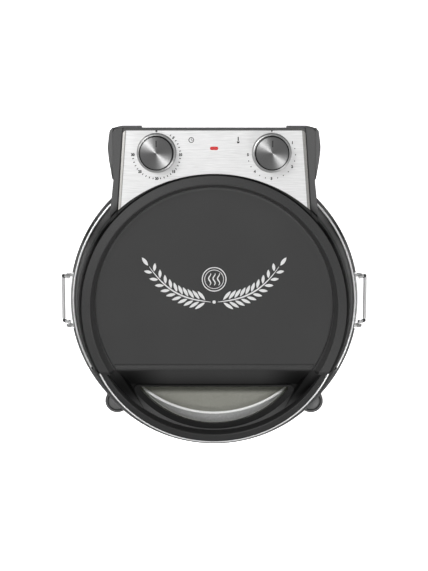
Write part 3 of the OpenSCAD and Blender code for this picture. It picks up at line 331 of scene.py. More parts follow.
keep("copper", FINE_GRAIN, {"Grains per mm": 0.6, "Drift": 0.6}, rgb(172, 104, 62), rgb(196, 124, 80),
     (0.3, 0.45), metallic=1.0)
keep("knob_metal", FINE_GRAIN, {"Grains per mm": 1.0, "Drift": 0.5}, grey(124), grey(138), (0.36, 0.4),
     metallic=1.0, Anisotropic=0.9, Anisotropic_Rotation=0.25)

spun = FINISH["knob_metal"].node_tree
circles = put(spun, "Tangent", {}, direction_type="RADIAL", axis="Z")
spun.links.new(circles.outputs["Tangent"], spun.nodes["Principled BSDF"].inputs["Tangent"])
print("finishes:", len(FINISH))

# %% [markdown]
# Two finishes are left: the pressed stone, matt and slightly warm, with a coarser grain than plastic, and
# the red lens of the indicator. The lens is smooth but not clear, so a glossy red does for it and no glass
# is needed.

# %% Finishes: stone and lens
keep("stone", FINE_GRAIN, {"Grains per mm": 0.6, "Drift": 0.4}, rgb(172, 171, 162), rgb(192, 191, 182),
     (0.8, 0.95), bump=0.4)
keep("lamp_lens", FINE_GRAIN, {"Grains per mm": 0.8, "Drift": 0.5}, rgb(196, 18, 20), rgb(220, 30, 32),
     (0.2, 0.3))
print("finishes:", len(FINISH))

# %% [markdown]
# ## Painted shade and light by place
#
# A mask paints shade or light into a finish by scaling its colour: `rescale` puts one multiplication between
# the colour and the shader. One number scales the three channels alike, and three numbers also tint. A second
# material on chosen faces would need faces that end just there, and it would give a hard edge.

# %% Recipes for a change of shade


def rescale(name, group, settings, mask, at_zero, at_one):
    """Multiplies a finish's base colour by factors that go from at_zero to at_one with the mask."""
    tree = FINISH[name].node_tree
    where = put(tree, "Group", settings, node_tree=group)
    low, high = (value if isinstance(value, tuple) else (value,) * 3 for value in (at_zero, at_one))
    factor = put(tree, "Mix", {0: where.outputs[mask], 4: low, 5: high}, data_type="VECTOR")
    colour = tree.nodes["Principled BSDF"].inputs["Base Color"]
    product = {0: colour.links[0].from_socket, 1: factor.outputs[1]}
    scale = put(tree, "VectorMath", product, operation="MULTIPLY")
    tree.links.new(scale.outputs["Vector"], colour)


def shade_round(name, x, y, near, far, inside, beyond, limit_y=NO_LIMIT):
    """Scales by `inside` round a point in plan, and by `beyond` away from it or behind the limit."""
    settings = {"X": x, "Y": y, "Near": near, "Far": far, "Limit Y": limit_y}
    rescale(name, NEAR_POINT, settings, "Far mask", inside, beyond)


def shade_behind(name, start, end, before, behind):
    """Scales by `before` in front of a line across the cooker, and by `behind` past it."""
    rescale(name, BEHIND_LINE, {"Start Y": start, "End Y": end}, "Mask", before, behind)


print("recipes:", rescale.__name__, shade_round.__name__, shade_behind.__name__)

# %% [markdown]
# The turned edge of each knob cap is cut steeply, and a painted shade makes it nearly black. The chromed
# skirt round the cap gets a painted shade too: dark at the rear, where it falls away behind the cap, and left
# bright at the front. So its bright part is a disc whose middle lies a little in front of the knob's, and
# what is left of the skirt is a painted dark crescent.

# %% Painted shade on the knobs
cap_low, cap_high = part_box("timer_cap")
cap_r = (cap_high.x - cap_low.x) / 2
knob_x, knob_y = abs(middle("timer_cap").x), middle("timer_cap").y
TURNED_EDGE = (cap_r - 1.9 * MM, cap_r - 1.3 * MM)
BRIGHT_DISC = (cap_r + 1.7 * MM, cap_r + 3.4 * MM)
DISC_FORWARD = 1.6 * MM
TURNED_EDGE_PAINTED_SHADE, CRESCENT_PAINTED_SHADE = 0.08, 0.35
# painted shade: the cap's turned edge and the skirt outside its bright disc are darkened
shade_round("knob_metal", knob_x, knob_y, *TURNED_EDGE, 1.0, TURNED_EDGE_PAINTED_SHADE)
shade_round("skirt_chrome", knob_x, knob_y - DISC_FORWARD, *BRIGHT_DISC, 1.0, CRESCENT_PAINTED_SHADE)
print("cap radius (mm):", round(cap_r / MM, 2))

# %% [markdown]
# The panel is a tray of sheet steel. Its sides are bent down and turn away from the light, so they get a
# painted shade, greyer and a little warmer, and start with a painted dark line at the bend. The panel narrows
# towards the rear, so its half width and taper are measured on the mesh. The same mask, moved outwards,
# paints the shade in the joint between the panel and the shell.

# %% Painted shade along the panel's sides
REAR_CORNER = 12 * MM
BENT_SIDE = {"Strip": 2.7 * MM, "Soft": 0.35 * MM}
JOINT = {"Strip": -1.0 * MM, "Soft": 0.7 * MM}
BENT_SIDE_PAINTED_SHADE, BEND_PAINTED_SHADE, JOINT_PAINTED_SHADE = (0.5, 0.49, 0.47), 0.5, 0.35
side_points = [v.co for v in frame["nodes"]["control_panel"].data.vertices]
rear_y = panel_high.y - REAR_CORNER
rear_half = max(p.x for p in side_points if p.y > rear_y)
widest = max(side_points, key=lambda p: p.x)
taper = (widest.x - rear_half) / (rear_y - widest.y)
side = {"Half width": widest.x + taper * widest.y, "Taper": taper}
# painted shade on the bent sides and the bend, and in the joint on the shell
rescale("panel_steel", SIDE_STRIP, {**side, **BENT_SIDE}, "Strip mask", 1.0, BENT_SIDE_PAINTED_SHADE)
rescale("panel_steel", SIDE_STRIP, {**side, **BENT_SIDE}, "Line mask", 1.0, BEND_PAINTED_SHADE)
rescale("shell_plastic", SIDE_STRIP, {**side, **JOINT}, "Line mask", 1.0, JOINT_PAINTED_SHADE)
print("panel half width, rear and front (mm):", round(rear_half / MM, 1), round(widest.x / MM, 1))

# %% [markdown]
# The lid shell is one moulding: a ring wall round the lid and the control housing behind it. The steep wall
# gets a painted shade, darker than the housing, and its lower edge, which catches light from the side, gets
# painted light, much lighter than the rest. That painted light ends where the housing begins, so the last
# line takes it back there.

# %% Painted shade and light on the shell
HOUSING_START = (axis.y + 88 * MM, axis.y + 112 * MM)
WALL_EDGE = (160 * MM, 170 * MM)
EDGE_END = (axis.y + 62 * MM, axis.y + 84 * MM)
WALL_PAINTED_SHADE, EDGE_PAINTED_LIGHT = 0.36, 3.2
# painted shade on the ring wall, and painted light on its lower edge
shade_behind("shell_plastic", *HOUSING_START, WALL_PAINTED_SHADE, 1.0)
shade_round("shell_plastic", 0.0, axis.y, *WALL_EDGE, 1.0, EDGE_PAINTED_LIGHT)
shade_behind("shell_plastic", *EDGE_END, 1.0, 1 / EDGE_PAINTED_LIGHT)
print("wall shade:", WALL_PAINTED_SHADE, "edge:", round(WALL_PAINTED_SHADE * EDGE_PAINTED_LIGHT, 2))

# %% [markdown]
# Each round front foot has a groove round its top, less than two millimetres wide. It is painted: the top
# inside it gets painted light, and two rings of painted shade, one that starts the groove and one that ends
# it, are enough from above. The rear tip of each hinge tower is undercut, and a painted shadow darkens it.

# %% Painted shade and light on the feet and the towers
FOOT_R = 15 * MM
FOOT_GROOVE_START, FOOT_GROOVE_END = (10.4 * MM, 10.9 * MM), (11.9 * MM, 12.5 * MM)
FOOT_TOP_PAINTED_LIGHT, FOOT_GROOVE_PAINTED_SHADE, TOWER_TIP_PAINTED_SHADE = 1.4, 0.3, 0.2
TOWER_TIP_X, TOWER_TIP_Y = 118.5 * MM, axis.y + 152.5 * MM
TOWER_TIP_SHADOW = (1.5 * MM, 5 * MM)
foot_low, foot_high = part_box("front_legs")
foot_x, foot_y = foot_high.x - FOOT_R, foot_low.y + FOOT_R
# painted light on each foot's top, painted shade in its groove, and a painted shadow on each tower tip
shade_round("housing_plastic", foot_x, foot_y, *FOOT_GROOVE_START, FOOT_TOP_PAINTED_LIGHT, FOOT_GROOVE_PAINTED_SHADE)
shade_round("housing_plastic", foot_x, foot_y, *FOOT_GROOVE_END, 1.0, 1 / FOOT_GROOVE_PAINTED_SHADE)
shade_round("housing_plastic", TOWER_TIP_X, TOWER_TIP_Y, *TOWER_TIP_SHADOW, TOWER_TIP_PAINTED_SHADE, 1.0)
print("front foot at (mm):", round(foot_x / MM, 1), round(foot_y / MM, 1))

# %% [markdown]
# The window lies in a sloping recess. Hardly any light gets into its deep corners, and the soft light of
# the studio is too even to show that, so the paint itself gets darker there: on the slope, and much more
# towards its corners. In front of the slope the paint gets its light back. All three masks are placed from
# the crest, where the flat lid bends down into the recess.

# %% Shades of the recess
crest_y = axis.y - 76 * MM
slope_top = crest_y - 2 * MM
SLOPE = (crest_y - 22 * MM, slope_top)
CORNER_X, CORNER_Y = 104 * MM, crest_y - 18 * MM
CORNER_SHADOW = (4 * MM, 54 * MM)
BEFORE_SLOPE = (crest_y - 44 * MM, crest_y - 26 * MM)
SLOPE_SHADE, CORNER_SHADE, BEFORE_SLOPE_LIFT = 0.5, 0.05, 3.4
shade_behind("lid_paint", *SLOPE, SLOPE_SHADE, 1.0)
shade_round("lid_paint", CORNER_X, CORNER_Y, *CORNER_SHADOW, CORNER_SHADE, 1.0, limit_y=slope_top)
shade_behind("lid_paint", *BEFORE_SLOPE, BEFORE_SLOPE_LIFT, 1.0)
print("crest y (mm):", round(crest_y / MM, 1))

# %% [markdown]
# The rolled edge of the cover turns under, into shade, and a painted shade makes it almost black. The groove
# inside the raised ring is painted like the rest but lies in its own shadow, which comes out darker here than
# on the real lid, so it gets a lighter shade. The stone shows under the glass, and its rim gets painted
# light, paler and cooler than its middle, against the shade of the lid's ring.

# %% Painted shade and light on the cover and the stone
ROLLED_EDGE, ROLLED_EDGE_PAINTED_SHADE = (155.0 * MM, 155.8 * MM), 0.1
GROOVE_LIFT = 1.4
GROOVE_INNER, GROOVE_OUTER = (138.0 * MM, 140.0 * MM), (143.6 * MM, 145.6 * MM)
STONE_RIM, STONE_RIM_PAINTED_LIGHT = (139 * MM, 142 * MM), (1.36, 1.36, 1.58)
# painted shade on the rolled edge, painted light in the groove and on the stone's rim
shade_round("lid_paint", 0.0, axis.y, *ROLLED_EDGE, 1.0, ROLLED_EDGE_PAINTED_SHADE)
shade_round("lid_paint", 0.0, axis.y, *GROOVE_INNER, 1.0, GROOVE_LIFT)
shade_round("lid_paint", 0.0, axis.y, *GROOVE_OUTER, 1.0, 1 / GROOVE_LIFT)
shade_round("stone", 0.0, axis.y, *STONE_RIM, 1.0, STONE_RIM_PAINTED_LIGHT)
print("groove width (mm):", round((GROOVE_OUTER[1] - GROOVE_INNER[0]) / MM, 1))

# %% [markdown]
# The window is thick clear glass. Real refraction would darken the recess and give noise, so it is one shader
# with a low alpha: the ring behind it shows, and the light gets in. A faint noise keeps its tint from being
# flat. Along its rear edge the alpha rises and the colour drops: a painted shadow band for the shade under
# the glass's rear edge.

# %% Window glass
CLEAR_ALPHA, SHADOW_BAND_ALPHA = 0.15, 0.6
ALPHA_RISE = {"Start Y": glass_high.y - 11.5 * MM, "End Y": glass_high.y - 3.5 * MM}
COLOUR_DROP = (glass_high.y - 10 * MM, glass_high.y - 6 * MM)
SHADOW_BAND_COLOUR = (0.12, 0.12, 0.09)
keep("window_glass", FINE_GRAIN, {"Grains per mm": 0.05, "Drift": 0.7}, rgb(118, 122, 112),
     rgb(130, 134, 124), (0.03, 0.05), IOR=1.5)
glass = FINISH["window_glass"].node_tree
# painted shadow band along the rear edge: more alpha and a darker colour
shadow_band_mask = put(glass, "Group", ALPHA_RISE, node_tree=BEHIND_LINE).outputs["Mask"]
alpha = put(glass, "MapRange", {"Value": shadow_band_mask, "To Min": CLEAR_ALPHA, "To Max": SHADOW_BAND_ALPHA})
glass.links.new(alpha.outputs["Result"], glass.nodes["Principled BSDF"].inputs["Alpha"])
shade_behind("window_glass", *COLOUR_DROP, 1.0, SHADOW_BAND_COLOUR)
print("rear edge of the glass y (mm):", round(glass_high.y / MM, 1))

# %% [markdown]
# The CAD record names a material slot for each node, and that slot picks the finish. A few pieces share a
# slot with others but differ in polish or shade, such as the satin wire of the bails, so they are listed by
# name.

# %% Give each node its finish
OWN_FINISH = {"left_bail": "bail_wire", "right_bail": "bail_wire", "handle_bar": "handle_plastic",
              "timer_skirt": "skirt_chrome", "thermostat_skirt": "skirt_chrome", "guard_ring": "guard_wire",
              "lid_trim_ring": "satin_chrome", "handle_trim": "satin_chrome"}
for part in frame["record"]["subparts"]:
    materials = frame["nodes"][part["node"]].data.materials
    materials.clear()
    materials.append(FINISH[OWN_FINISH.get(part["node"], part["material_slot"])])

# %% [markdown]
# ## Prints on the control panel
#
# A dial is printed ink, a few hundredths of a millimetre thick. An image would do on a screen, but flat
# curves with a hair of extrusion stay sharp from near and give real geometry. A closed outline is filled,
# and a second outline inside it is left open, which makes rings easy.

# %% Ink and flat prints
INK_BLACK = finish("ink_black", FINE_GRAIN, {"Grains per mm": 2.0, "Drift": 0.4}, grey(14), grey(22),
                   (0.5, 0.6))
INK_WHITE = finish("ink_white", FINE_GRAIN, {"Grains per mm": 1.0, "Drift": 0.4}, grey(222), grey(236),
                   (0.5, 0.6))
INK_THICK = 0.04 * MM
BOLD = 0.065


def lay_ink(name, curve, ink, place, body, turn=0.0):
    """Lays a flat curve down at (x, y, height) as one piece of ink that rides on the body."""
    curve.extrude = INK_THICK / 2
    curve.materials.append(ink)
    piece = bpy.data.objects.new(name, curve)
    bpy.context.collection.objects.link(piece)
    x, y, height = place
    piece.location = (x, y, height + INK_THICK / 2)
    piece.rotation_euler = (0, 0, turn)
    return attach(piece, body)


def flat_print(name, outlines, height, ink, body):
    """One piece of ink from closed outlines, given as lists of (x, y) in metres."""
    curve = bpy.data.curves.new(name, "CURVE")
    curve.dimensions = "2D"
    curve.fill_mode = "BOTH"
    for outline in outlines:
        spline = curve.splines.new("POLY")
        spline.points.add(len(outline) - 1)
        for point, (x, y) in zip(spline.points, outline):
            point.co = (x, y, 0, 1)
        spline.use_cyclic_u = True
    return lay_ink(name, curve, ink, (0, 0, height), body)


def number_print(name, text, place, size, body, turn=0.0):
    curve = bpy.data.curves.new(name, "FONT")
    curve.body = text
    curve.size = size
    curve.align_x = "CENTER"
    curve.align_y = "CENTER"
    curve.offset = size * BOLD
    return lay_ink(name, curve, INK_BLACK, place, body, turn)


print("ink thickness (mm):", INK_THICK / MM)

# %% [markdown]
# The dials are put together from three shapes: discs, rings and bars. Each function gives outlines as lists
# of points, so any number of shapes can go into one piece. That keeps the scene small, and one print is one
# thing on the real panel too.

# %% Shapes for the prints


def turned(x, y, u, v, angle):
    """The point (u, v) of a shape that stands at (x, y) and is turned by the angle."""
    return x + u * math.cos(angle) - v * math.sin(angle), y + u * math.sin(angle) + v * math.cos(angle)


def disc(x, y, radius, steps=16):
    return [turned(x, y, radius, 0, 2 * math.pi * i / steps) for i in range(steps)]


def ring(x, y, radius, width, steps=32):
    return [disc(x, y, radius, steps), disc(x, y, radius - width, steps)]


def bar(x, y, length, width, angle):
    """A rectangle round (x, y) whose length runs along the angle."""
    corners = ((-1, -1), (1, -1), (1, 1), (-1, 1))
    return [turned(x, y, a * length / 2, b * width / 2, angle) for a, b in corners]


print("points in a disc:", len(disc(0, 0, MM)), "outlines in a ring:", len(ring(0, 0, MM, MM / 2)))

# %% [markdown]
# The scales start at the mark above each knob and run clockwise. Clock angles are easiest to read on a
# dial: 0 at the top and growing clockwise. Five minutes take 45 degrees on the timer, and the thermostat
# has five levels with a dot every 15 degrees between them. The middle of each dial lies slightly in front
# of its knob's, so it is shifted.

# %% Places on a dial
DIAL_R = 27.4 * MM
DIAL_SHIFT = -2.2 * MM
INDEX_INSET = 0.5 * MM
NUMBER_SIZE = 4.1 * MM
panel_top = panel_high.z


def dial_centre(cap):
    place = middle(cap)
    return place.x, place.y + DIAL_SHIFT


def on_dial(centre, clock, radius=DIAL_R):
    angle = math.radians(90 - clock)
    return centre[0] + radius * math.cos(angle), centre[1] + radius * math.sin(angle)


timer_centre, thermostat_centre = dial_centre("timer_cap"), dial_centre("thermostat_cap")
print("dial centres x (mm):", round(timer_centre[0] / MM, 1), round(thermostat_centre[0] / MM, 1))

# %% [markdown]
# The timer has a short tick for each minute and a number at every fifth. The ticks begin one minute before
# the first number, which is printed at a slant. The ticks are one piece, made by a loop, while each number
# is a piece of its own, because it comes from a font.

# %% Timer scale
MINUTE_ANGLE = 9.0
FIRST_TICK, LAST_MINUTE, NUMBER_EVERY = 4, 30, 5
TICK_LENGTH, TICK_WIDTH = 2.0 * MM, 1.0 * MM
INDEX_DOT_R = 1.25 * MM
FIRST_NUMBER_TURN = math.radians(-40)
ticks = []
for minutes in range(FIRST_TICK, LAST_MINUTE):
    if minutes % NUMBER_EVERY:
        clock = minutes * MINUTE_ANGLE
        ticks.append(bar(*on_dial(timer_centre, clock), TICK_LENGTH, TICK_WIDTH, math.radians(90 - clock)))
ticks.append(disc(*on_dial(timer_centre, 0, DIAL_R - INDEX_INSET), INDEX_DOT_R))
flat_print("timer_ticks", ticks, panel_top, INK_BLACK, "lid")
for minutes in range(NUMBER_EVERY, LAST_MINUTE + 1, NUMBER_EVERY):
    place = (*on_dial(timer_centre, minutes * MINUTE_ANGLE), panel_top)
    turn = FIRST_NUMBER_TURN if minutes == NUMBER_EVERY else 0.0
    number_print(f"timer_number_{minutes}", str(minutes), place, NUMBER_SIZE, "lid", turn)
print("timer ticks:", len(ticks))

# %% [markdown]
# The thermostat has five levels, which aren't evenly spaced, so their clock angles are listed. Round dots
# fill the spaces between them. Its index mark is a small triangle that points at the knob.

# %% Thermostat scale
LEVEL_CLOCKS = {1: 60, 2: 120, 3: 180, 4: 225, 5: 270}
DOT_R, DOT_EVERY = 0.65 * MM, 15
INDEX_HALF_WIDTH, INDEX_RISE, INDEX_DROP = 1.3 * MM, 1.2 * MM, 1.4 * MM
dots = []
for clock in range(LEVEL_CLOCKS[1] + DOT_EVERY, LEVEL_CLOCKS[5], DOT_EVERY):
    if clock not in LEVEL_CLOCKS.values():
        dots.append(disc(*on_dial(thermostat_centre, clock), DOT_R))
top_x, top_y = on_dial(thermostat_centre, 0, DIAL_R - INDEX_INSET)
index_base = top_y + INDEX_RISE
dots.append([(top_x - INDEX_HALF_WIDTH, index_base), (top_x + INDEX_HALF_WIDTH, index_base),
             (top_x, top_y - INDEX_DROP)])
flat_print("thermostat_dots", dots, panel_top, INK_BLACK, "lid")
for level, clock in LEVEL_CLOCKS.items():
    place = (*on_dial(thermostat_centre, clock), panel_top)
    number_print(f"thermostat_number_{level}", str(level), place, NUMBER_SIZE, "lid")
print("thermostat dots:", len(dots))

# %% [markdown]
# Two small pictograms tell the knobs apart: a clock face for the timer and a thermometer for the heat. Both
# are only a few millimetres high, so a ring and two hands, or a bulb and a stem, say enough.

# %% Pictograms
icon_y = middle("indicator_lens").y + 9.5 * MM
clock_x = timer_centre[0] + 40 * MM
gauge_x = thermostat_centre[0] - 38.6 * MM
FACE_R, FACE_LINE = 3.2 * MM, 0.85 * MM
HAND_WIDTH = 0.6 * MM
# each hand: its middle's shift to the side and upwards and its length in mm, and its angle in degrees
HANDS = ((0, 0.9, 1.9, 90), (0.8, -0.3, 1.7, -20))
BULB_R, BULB_DROP = 1.5 * MM, 2.4 * MM
TUBE_LENGTH, TUBE_WIDTH, TUBE_RISE = 5.4 * MM, 1.3 * MM, 0.9 * MM
clock_sign = ring(clock_x, icon_y, FACE_R, FACE_LINE)
for shift, rise, length, angle in HANDS:
    hand_x, hand_y = clock_x + shift * MM, icon_y + rise * MM
    clock_sign.append(bar(hand_x, hand_y, length * MM, HAND_WIDTH, math.radians(angle)))
flat_print("clock_sign", clock_sign, panel_top, INK_BLACK, "lid")
bulb = disc(gauge_x, icon_y - BULB_DROP, BULB_R)
tube = bar(gauge_x, icon_y + TUBE_RISE, TUBE_LENGTH, TUBE_WIDTH, math.pi / 2)
flat_print("thermometer_sign", [bulb, tube], panel_top, INK_BLACK, "lid")
print("pictograms at y (mm):", round(icon_y / MM, 1))

# %% [markdown]
# Each cap has an engraved pointer line. An engraving this fine is only a dark line from above, so it is
# printed. It rides on its own knob, so it turns with it.

# %% Pointer lines
POINTER_LENGTH, POINTER_WIDTH = 7.4 * MM, 1.5 * MM
POINTER_SIDE, POINTER_OUT = 0.3 * MM, 10.6 * MM
for knob, cap in (("timer_knob", "timer_cap"), ("thermostat_knob", "thermostat_cap")):
    centre, cap_top = middle(cap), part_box(cap)[1].z
    line = bar(centre.x + POINTER_SIDE, centre.y + POINTER_OUT, POINTER_LENGTH, POINTER_WIDTH, math.pi / 2)
    flat_print(f"{knob}_pointer", [line], cap_top, INK_BLACK, knob)
print("pointer tip from the knob's middle (mm):", (POINTER_OUT + POINTER_LENGTH / 2) / MM)

# %% [markdown]
# ## Grips on the two wire bails
#
# A satin sleeve is slipped over the grip of each bail, and a dark collar sits on each leg. Both belong to
# the bail's body, so they swing with it. A curve with a round bevel is the shortest way to a rod between
# two points, because a cylinder would have to be turned into place first.

# %% Sleeves and collars
WIRE_R, HEAD_R = 1.5 * MM, 2.4 * MM
SLEEVE_R, SLEEVE_HALF, SLEEVE_INWARD = 2.1 * MM, 25.5 * MM, 0.3 * MM
COLLAR_R, COLLAR_SIDE, COLLAR_SPAN = 2.2 * MM, 28 * MM, (0.08, 0.42)


def rod(name, start, end, radius, material, body):
    """A round rod with closed ends between two points, which rides on the body."""
    curve = bpy.data.curves.new(name, "CURVE")
    curve.dimensions = "3D"
    curve.bevel_depth = radius
    curve.bevel_resolution = 6
    curve.use_fill_caps = True
    spline = curve.splines.new("POLY")
    spline.points.add(1)
    for point, place in zip(spline.points, (start, end)):
        point.co = (*place, 1)
    piece = bpy.data.objects.new(name, curve)
    bpy.context.collection.objects.link(piece)
    curve.materials.append(material)
    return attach(piece, body)


for bail, inward in (("left_bail", 1), ("right_bail", -1)):
    low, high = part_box(bail)
    outer, inner = (low.x, high.x) if inward == 1 else (high.x, low.x)
    grip = Vector((outer + inward * WIRE_R, axis.y, low.z + WIRE_R))
    pivot = Vector((inner - inward * HEAD_R, axis.y, high.z - HEAD_R))
    sleeve_middle = grip + Vector((inward * SLEEVE_INWARD, 0, 0))
    half_sleeve = Vector((0, SLEEVE_HALF, 0))
    rod(f"{bail}_sleeve", sleeve_middle - half_sleeve, sleeve_middle + half_sleeve, SLEEVE_R,
        FINISH["bail_wire"], bail)
    for end, sign in (("front", -1), ("rear", 1)):
        leg = Vector((0, sign * COLLAR_SIDE, 0))
        start, stop = (grip.lerp(pivot, share) + leg for share in COLLAR_SPAN)
        rod(f"{bail}_collar_{end}", start, stop, COLLAR_R, FINISH["black_plastic"], bail)
print("bail grip at (mm):", [round(v / MM, 1) for v in grip])

# %% [markdown]
# ## A printed ornament for the lid
#
# The flat middle of the lid carries a white print of its own design: a round sign with rising steam, and
# two leafy sprigs that spread from below it to both sides. Its outlines are computed, so that every leaf is
# the same drawing at another place and size. Two shapes come first: a pointed stroke for stems and steam,
# and a leaf.

# %% Ornament: strokes and leaves
STROKE_BLUNTNESS = 0.6
LEAF_FULLNESS = 0.8


def stroke(points, width):
    """The outline of a line of the given width, pointed at both ends."""
    left, right = [], []
    last = len(points) - 1
    for i, (x, y) in enumerate(points):
        before, after = points[max(i - 1, 0)], points[min(i + 1, last)]
        along = Vector((after[0] - before[0], after[1] - before[1])).normalized()
        share = (i + STROKE_BLUNTNESS) / (last + 2 * STROKE_BLUNTNESS)
        half_width = width / 2 * math.sqrt(math.sin(math.pi * share))
        left.append((x - along.y * half_width, y + along.x * half_width))
        right.append((x + along.y * half_width, y - along.x * half_width))
    return left + right[::-1]


def leaf(x, y, length, width, angle, steps=8):
    """A pointed leaf that grows from (x, y) along the angle."""
    shares = [i / steps for i in range(steps)]
    outline = []
    for side, way in ((1, shares), (-1, [1 - share for share in shares])):
        for share in way:
            half_width = width / 2 * math.sin(math.pi * share) ** LEAF_FULLNESS
            outline.append(turned(x, y, share * length, side * half_width, angle))
    return outline


print("points in a leaf:", len(leaf(0, 0, MM, MM, 0)))

# %% [markdown]
# The sign is two rings round three wavy lines of steam, which are sine curves. It stands a little behind
# the body axis, in the middle of the flat part of the lid.

# %% Ornament: the round sign
lid_print_z = cover_high.z - 10.3 * MM
sign_x, sign_y = axis.x, axis.y + 34 * MM
SIGN_RINGS = ((14.5 * MM, 1.1 * MM), (11.4 * MM, 0.7 * MM))
STEAM_POINTS, STEAM_WIDTH = 12, 1.5 * MM
STEAM_GAP, STEAM_SWING, STEAM_STEP, STEAM_TURN = 5.2 * MM, 1.3 * MM, 1.3 * MM, 0.75
steam_middle = (STEAM_POINTS - 1) / 2
sign_outlines = []
for radius, width in SIGN_RINGS:
    sign_outlines += ring(sign_x, sign_y, radius, width, steps=48)
for i in (-1, 0, 1):
    steam = []
    for t in range(STEAM_POINTS):
        swing = STEAM_SWING * math.sin(t * STEAM_TURN)
        steam.append((sign_x + i * STEAM_GAP + swing, sign_y + (t - steam_middle) * STEAM_STEP))
    sign_outlines.append(stroke(steam, STEAM_WIDTH))
flat_print("lid_sign", sign_outlines, lid_print_z, INK_WHITE, "lid")
print("outlines in the sign:", len(sign_outlines), "height (mm):", round(lid_print_z / MM, 2))

# %% [markdown]
# A sprig starts in the middle below the sign and rises outwards along a cubic curve. Pairs of leaves sit on
# both of its sides and get smaller towards the tip, which ends in a single leaf. The second sprig is the
# mirror image of the first, and a dot joins the two.

# %% Ornament: two sprigs
STEM_STEPS, STEM_WIDTH = 32, 1.7 * MM
STEM_START, STEM_REACH = 4 * MM, 72 * MM
STEM_DROP, STEM_SLOPE, STEM_RISE = 27 * MM, 9 * MM, 33 * MM
LEAF_EVERY, LEAF_LENGTH, LEAF_SHRINK = 3, 14.5 * MM, 0.16 * MM
LEAF_WIDTH, LEAF_LIFT, LEAF_TURN = 3.7 * MM, 1.5 * MM, math.radians(42)
TIP_LENGTH, TIP_WIDTH, TIP_SIDE, TIP_UP = 12 * MM, 4.2 * MM, 1.5 * MM, 1.2 * MM
JOINING_DOT_R = 2.0 * MM


def sprig(side):
    """A stem with leaves on both of its sides; side is 1 for the right sprig and -1 for the left one."""
    stem = []
    for i in range(STEM_STEPS + 1):
        t = i / STEM_STEPS
        rise = STEM_SLOPE * t + STEM_RISE * t ** 3 - STEM_DROP
        stem.append((sign_x + side * (STEM_START + STEM_REACH * t), sign_y + rise))
    outlines = [stroke(stem, STEM_WIDTH)]
    for i in range(LEAF_EVERY, STEM_STEPS - 1, LEAF_EVERY):
        x, y = stem[i]
        ahead = math.atan2(stem[i + 1][1] - y, stem[i + 1][0] - x)
        for hand in (1, -1):
            root = turned(x, y, 0, hand * LEAF_LIFT, ahead)
            length = LEAF_LENGTH - LEAF_SHRINK * i
            outlines.append(leaf(*root, length, LEAF_WIDTH, ahead + hand * LEAF_TURN))
    x, y = stem[-1]
    outlines.append(leaf(x + side * TIP_SIDE, y + TIP_UP, TIP_LENGTH, TIP_WIDTH, ahead))
    return outlines


sprigs = sprig(1) + sprig(-1)
sprigs.append(disc(sign_x, sign_y - STEM_DROP, JOINING_DOT_R))
flat_print("lid_sprigs", sprigs, lid_print_z, INK_WHITE, "lid")
print("outlines in the sprigs:", len(sprigs))

# %% [markdown]
# ## Studio
#
# The cooker stands on a white light table. What the camera sees of the table glows, as on a product picture
# with a cleared ground, while reflections show the plain paper. Bright lamps could burn the ground out as
# well, but they would wash out the dark lid. Light Path tells the two cases apart.

# %% Floor
FLOOR_HALF = 3.0
floor_mesh = bpy.data.meshes.new("floor")
corners = [(x * FLOOR_HALF, y * FLOOR_HALF, 0) for x, y in ((-1, -1), (1, -1), (1, 1), (-1, 1))]
floor_mesh.from_pydata(corners, [], [(0, 1, 2, 3)])
floor = bpy.data.objects.new("floor", floor_mesh)
bpy.context.collection.objects.link(floor)
floor_paper = finish("floor_paper", FINE_GRAIN, {"Grains per mm": 0.05, "Drift": 0.5}, grey(250), grey(252),
                     (0.9, 0.95), Emission_Color=(1, 1, 1, 1))
paper = floor_paper.node_tree
seen = put(paper, "LightPath", {}).outputs["Is Camera Ray"]
paper.links.new(seen, paper.nodes["Principled BSDF"].inputs["Emission Strength"])
floor_mesh.materials.append(floor_paper)
print("floor side (m):", 2 * FLOOR_HALF)

# %% [markdown]
# Chrome and dark paint show the room more than their own colour. So the room isn't evenly bright: it has a
# bright ceiling right above, darker walls around and a slightly lighter rear. An image of a real studio
# would do this too, and two smooth steps in the world's shader are enough here. Whatever looks past the
# floor sees plain white.

# %% Room
ROOM_WALL, ROOM_CEILING, ROOM_REAR = 0.24, 0.6, 0.1
CEILING_SPAN, REAR_SPAN = (0.72, 0.97), (0.1, 0.9)


def room_step(tree, value, span, low, high):
    inputs = {"Value": value, "From Min": span[0], "From Max": span[1], "To Min": low, "To Max": high}
    return put(tree, "MapRange", inputs, interpolation_type="SMOOTHSTEP").outputs["Result"]


world = bpy.data.worlds.new("studio")
world.use_nodes = True
room = world.node_tree
look = put(room, "SeparateXYZ", {0: put(room, "TexCoord", {}).outputs["Generated"]}).outputs
upwards = room_step(room, look["Z"], CEILING_SPAN, ROOM_WALL, ROOM_CEILING)
backwards = room_step(room, look["Y"], REAR_SPAN, 0.0, ROOM_REAR)
strength = maths(room, "ADD", upwards, backwards)
camera_ray = put(room, "LightPath", {}).outputs["Is Camera Ray"]
shown = put(room, "Mix", {"Factor": camera_ray, "A": strength, "B": 1.0})
background = room.nodes["Background"]
background.inputs["Color"].default_value = (1, 1, 1, 1)
room.links.new(shown.outputs["Result"], background.inputs["Strength"])
bpy.context.scene.world = world
print("room brightness, walls and ceiling:", ROOM_WALL, ROOM_CEILING)

# %% [markdown]
# Matt and shiny surfaces are lit by lamps of their own. One soft box above lights the matt ones. Three more
# show only in reflections: a window of light at the upper left, narrow and bright inside a wide one, gives
# the spun knobs their fan of highlights, and a fill at the lower right gives the opposite fan. Split like
# this, the highlights can be set without changing the shade of the lid.

# %% Lights
LIGHT_HEIGHT = 1.9
COOKER_MIDDLE = (0, 0.1, 0.1)


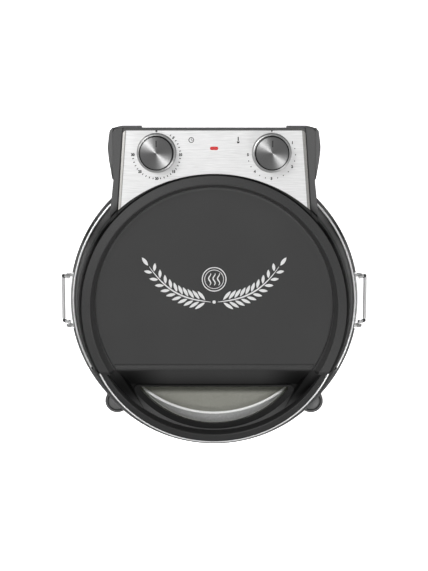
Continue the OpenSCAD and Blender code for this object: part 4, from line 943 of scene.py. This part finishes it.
def soft_box(name, place, target, size, power, seen_by):
    """A rectangular lamp, sizes in metres and power in watts, seen by matt or by shiny surfaces only."""
    light = bpy.data.lights.new(name, "AREA")
    light.shape = "RECTANGLE"
    light.size, light.size_y = size
    light.energy = power
    lamp = bpy.data.objects.new(name, light)
    bpy.context.collection.objects.link(lamp)
    lamp.location = place
    lamp.rotation_euler = (Vector(target) - Vector(place)).to_track_quat("-Z", "Y").to_euler()
    lamp.visible_diffuse = seen_by == "matt"
    lamp.visible_glossy = seen_by == "shiny"


soft_box("overhead", (0, 0.1, 2.3), (0, 0, 0.1), (1.1, 1.1), 27, "matt")
soft_box("upper_left_window", (-1.15, 1.15, LIGHT_HEIGHT), COOKER_MIDDLE, (0.4, 0.9), 34, "shiny")
soft_box("upper_left_wide", (-1.2, 1.2, LIGHT_HEIGHT), COOKER_MIDDLE, (2.0, 0.9), 52, "shiny")
soft_box("lower_right_fill", (1.2, -1.2, LIGHT_HEIGHT), COOKER_MIDDLE, (0.8, 0.9), 32, "shiny")
bpy.context.scene.view_settings.view_transform = "Standard"
print("lamps:", len(bpy.data.lights))

# %% [markdown]
# The camera looks down from 1.5 m and leans 9 degrees towards the rear, so that the raised lid parts shift
# forward in the picture. The length of its lens follows from the picture's scale: a pixel shows 1.22 mm at
# the height of the shell's rim. The shift is small and only centres the cooker as in the photograph.

# %% Camera
IMAGE_W, IMAGE_H = 428, 571
CAMERA_LEAN = math.radians(9)
CAMERA_DISTANCE = 1.5
MM_PER_PIXEL = 1.22
RIM_HEIGHT = 58 * MM
AIM_PIXEL = (214.15, 301.0)
aim = Vector((axis.x, axis.y, RIM_HEIGHT))
camera_data = bpy.data.cameras.new("camera")
camera_data.sensor_width = 36.0
camera_data.lens = CAMERA_DISTANCE / (MM_PER_PIXEL * MM) * camera_data.sensor_width / IMAGE_H
camera_data.shift_x = (IMAGE_W / 2 - AIM_PIXEL[0]) / IMAGE_H
camera_data.shift_y = (AIM_PIXEL[1] - IMAGE_H / 2) / IMAGE_H
camera = bpy.data.objects.new("camera", camera_data)
bpy.context.collection.objects.link(camera)
camera.location = aim + CAMERA_DISTANCE * Vector((0, math.sin(CAMERA_LEAN), math.cos(CAMERA_LEAN)))
camera.rotation_euler = (-CAMERA_LEAN, 0, 0)
bpy.context.scene.camera = camera
print("lens (mm):", round(camera_data.lens, 2))
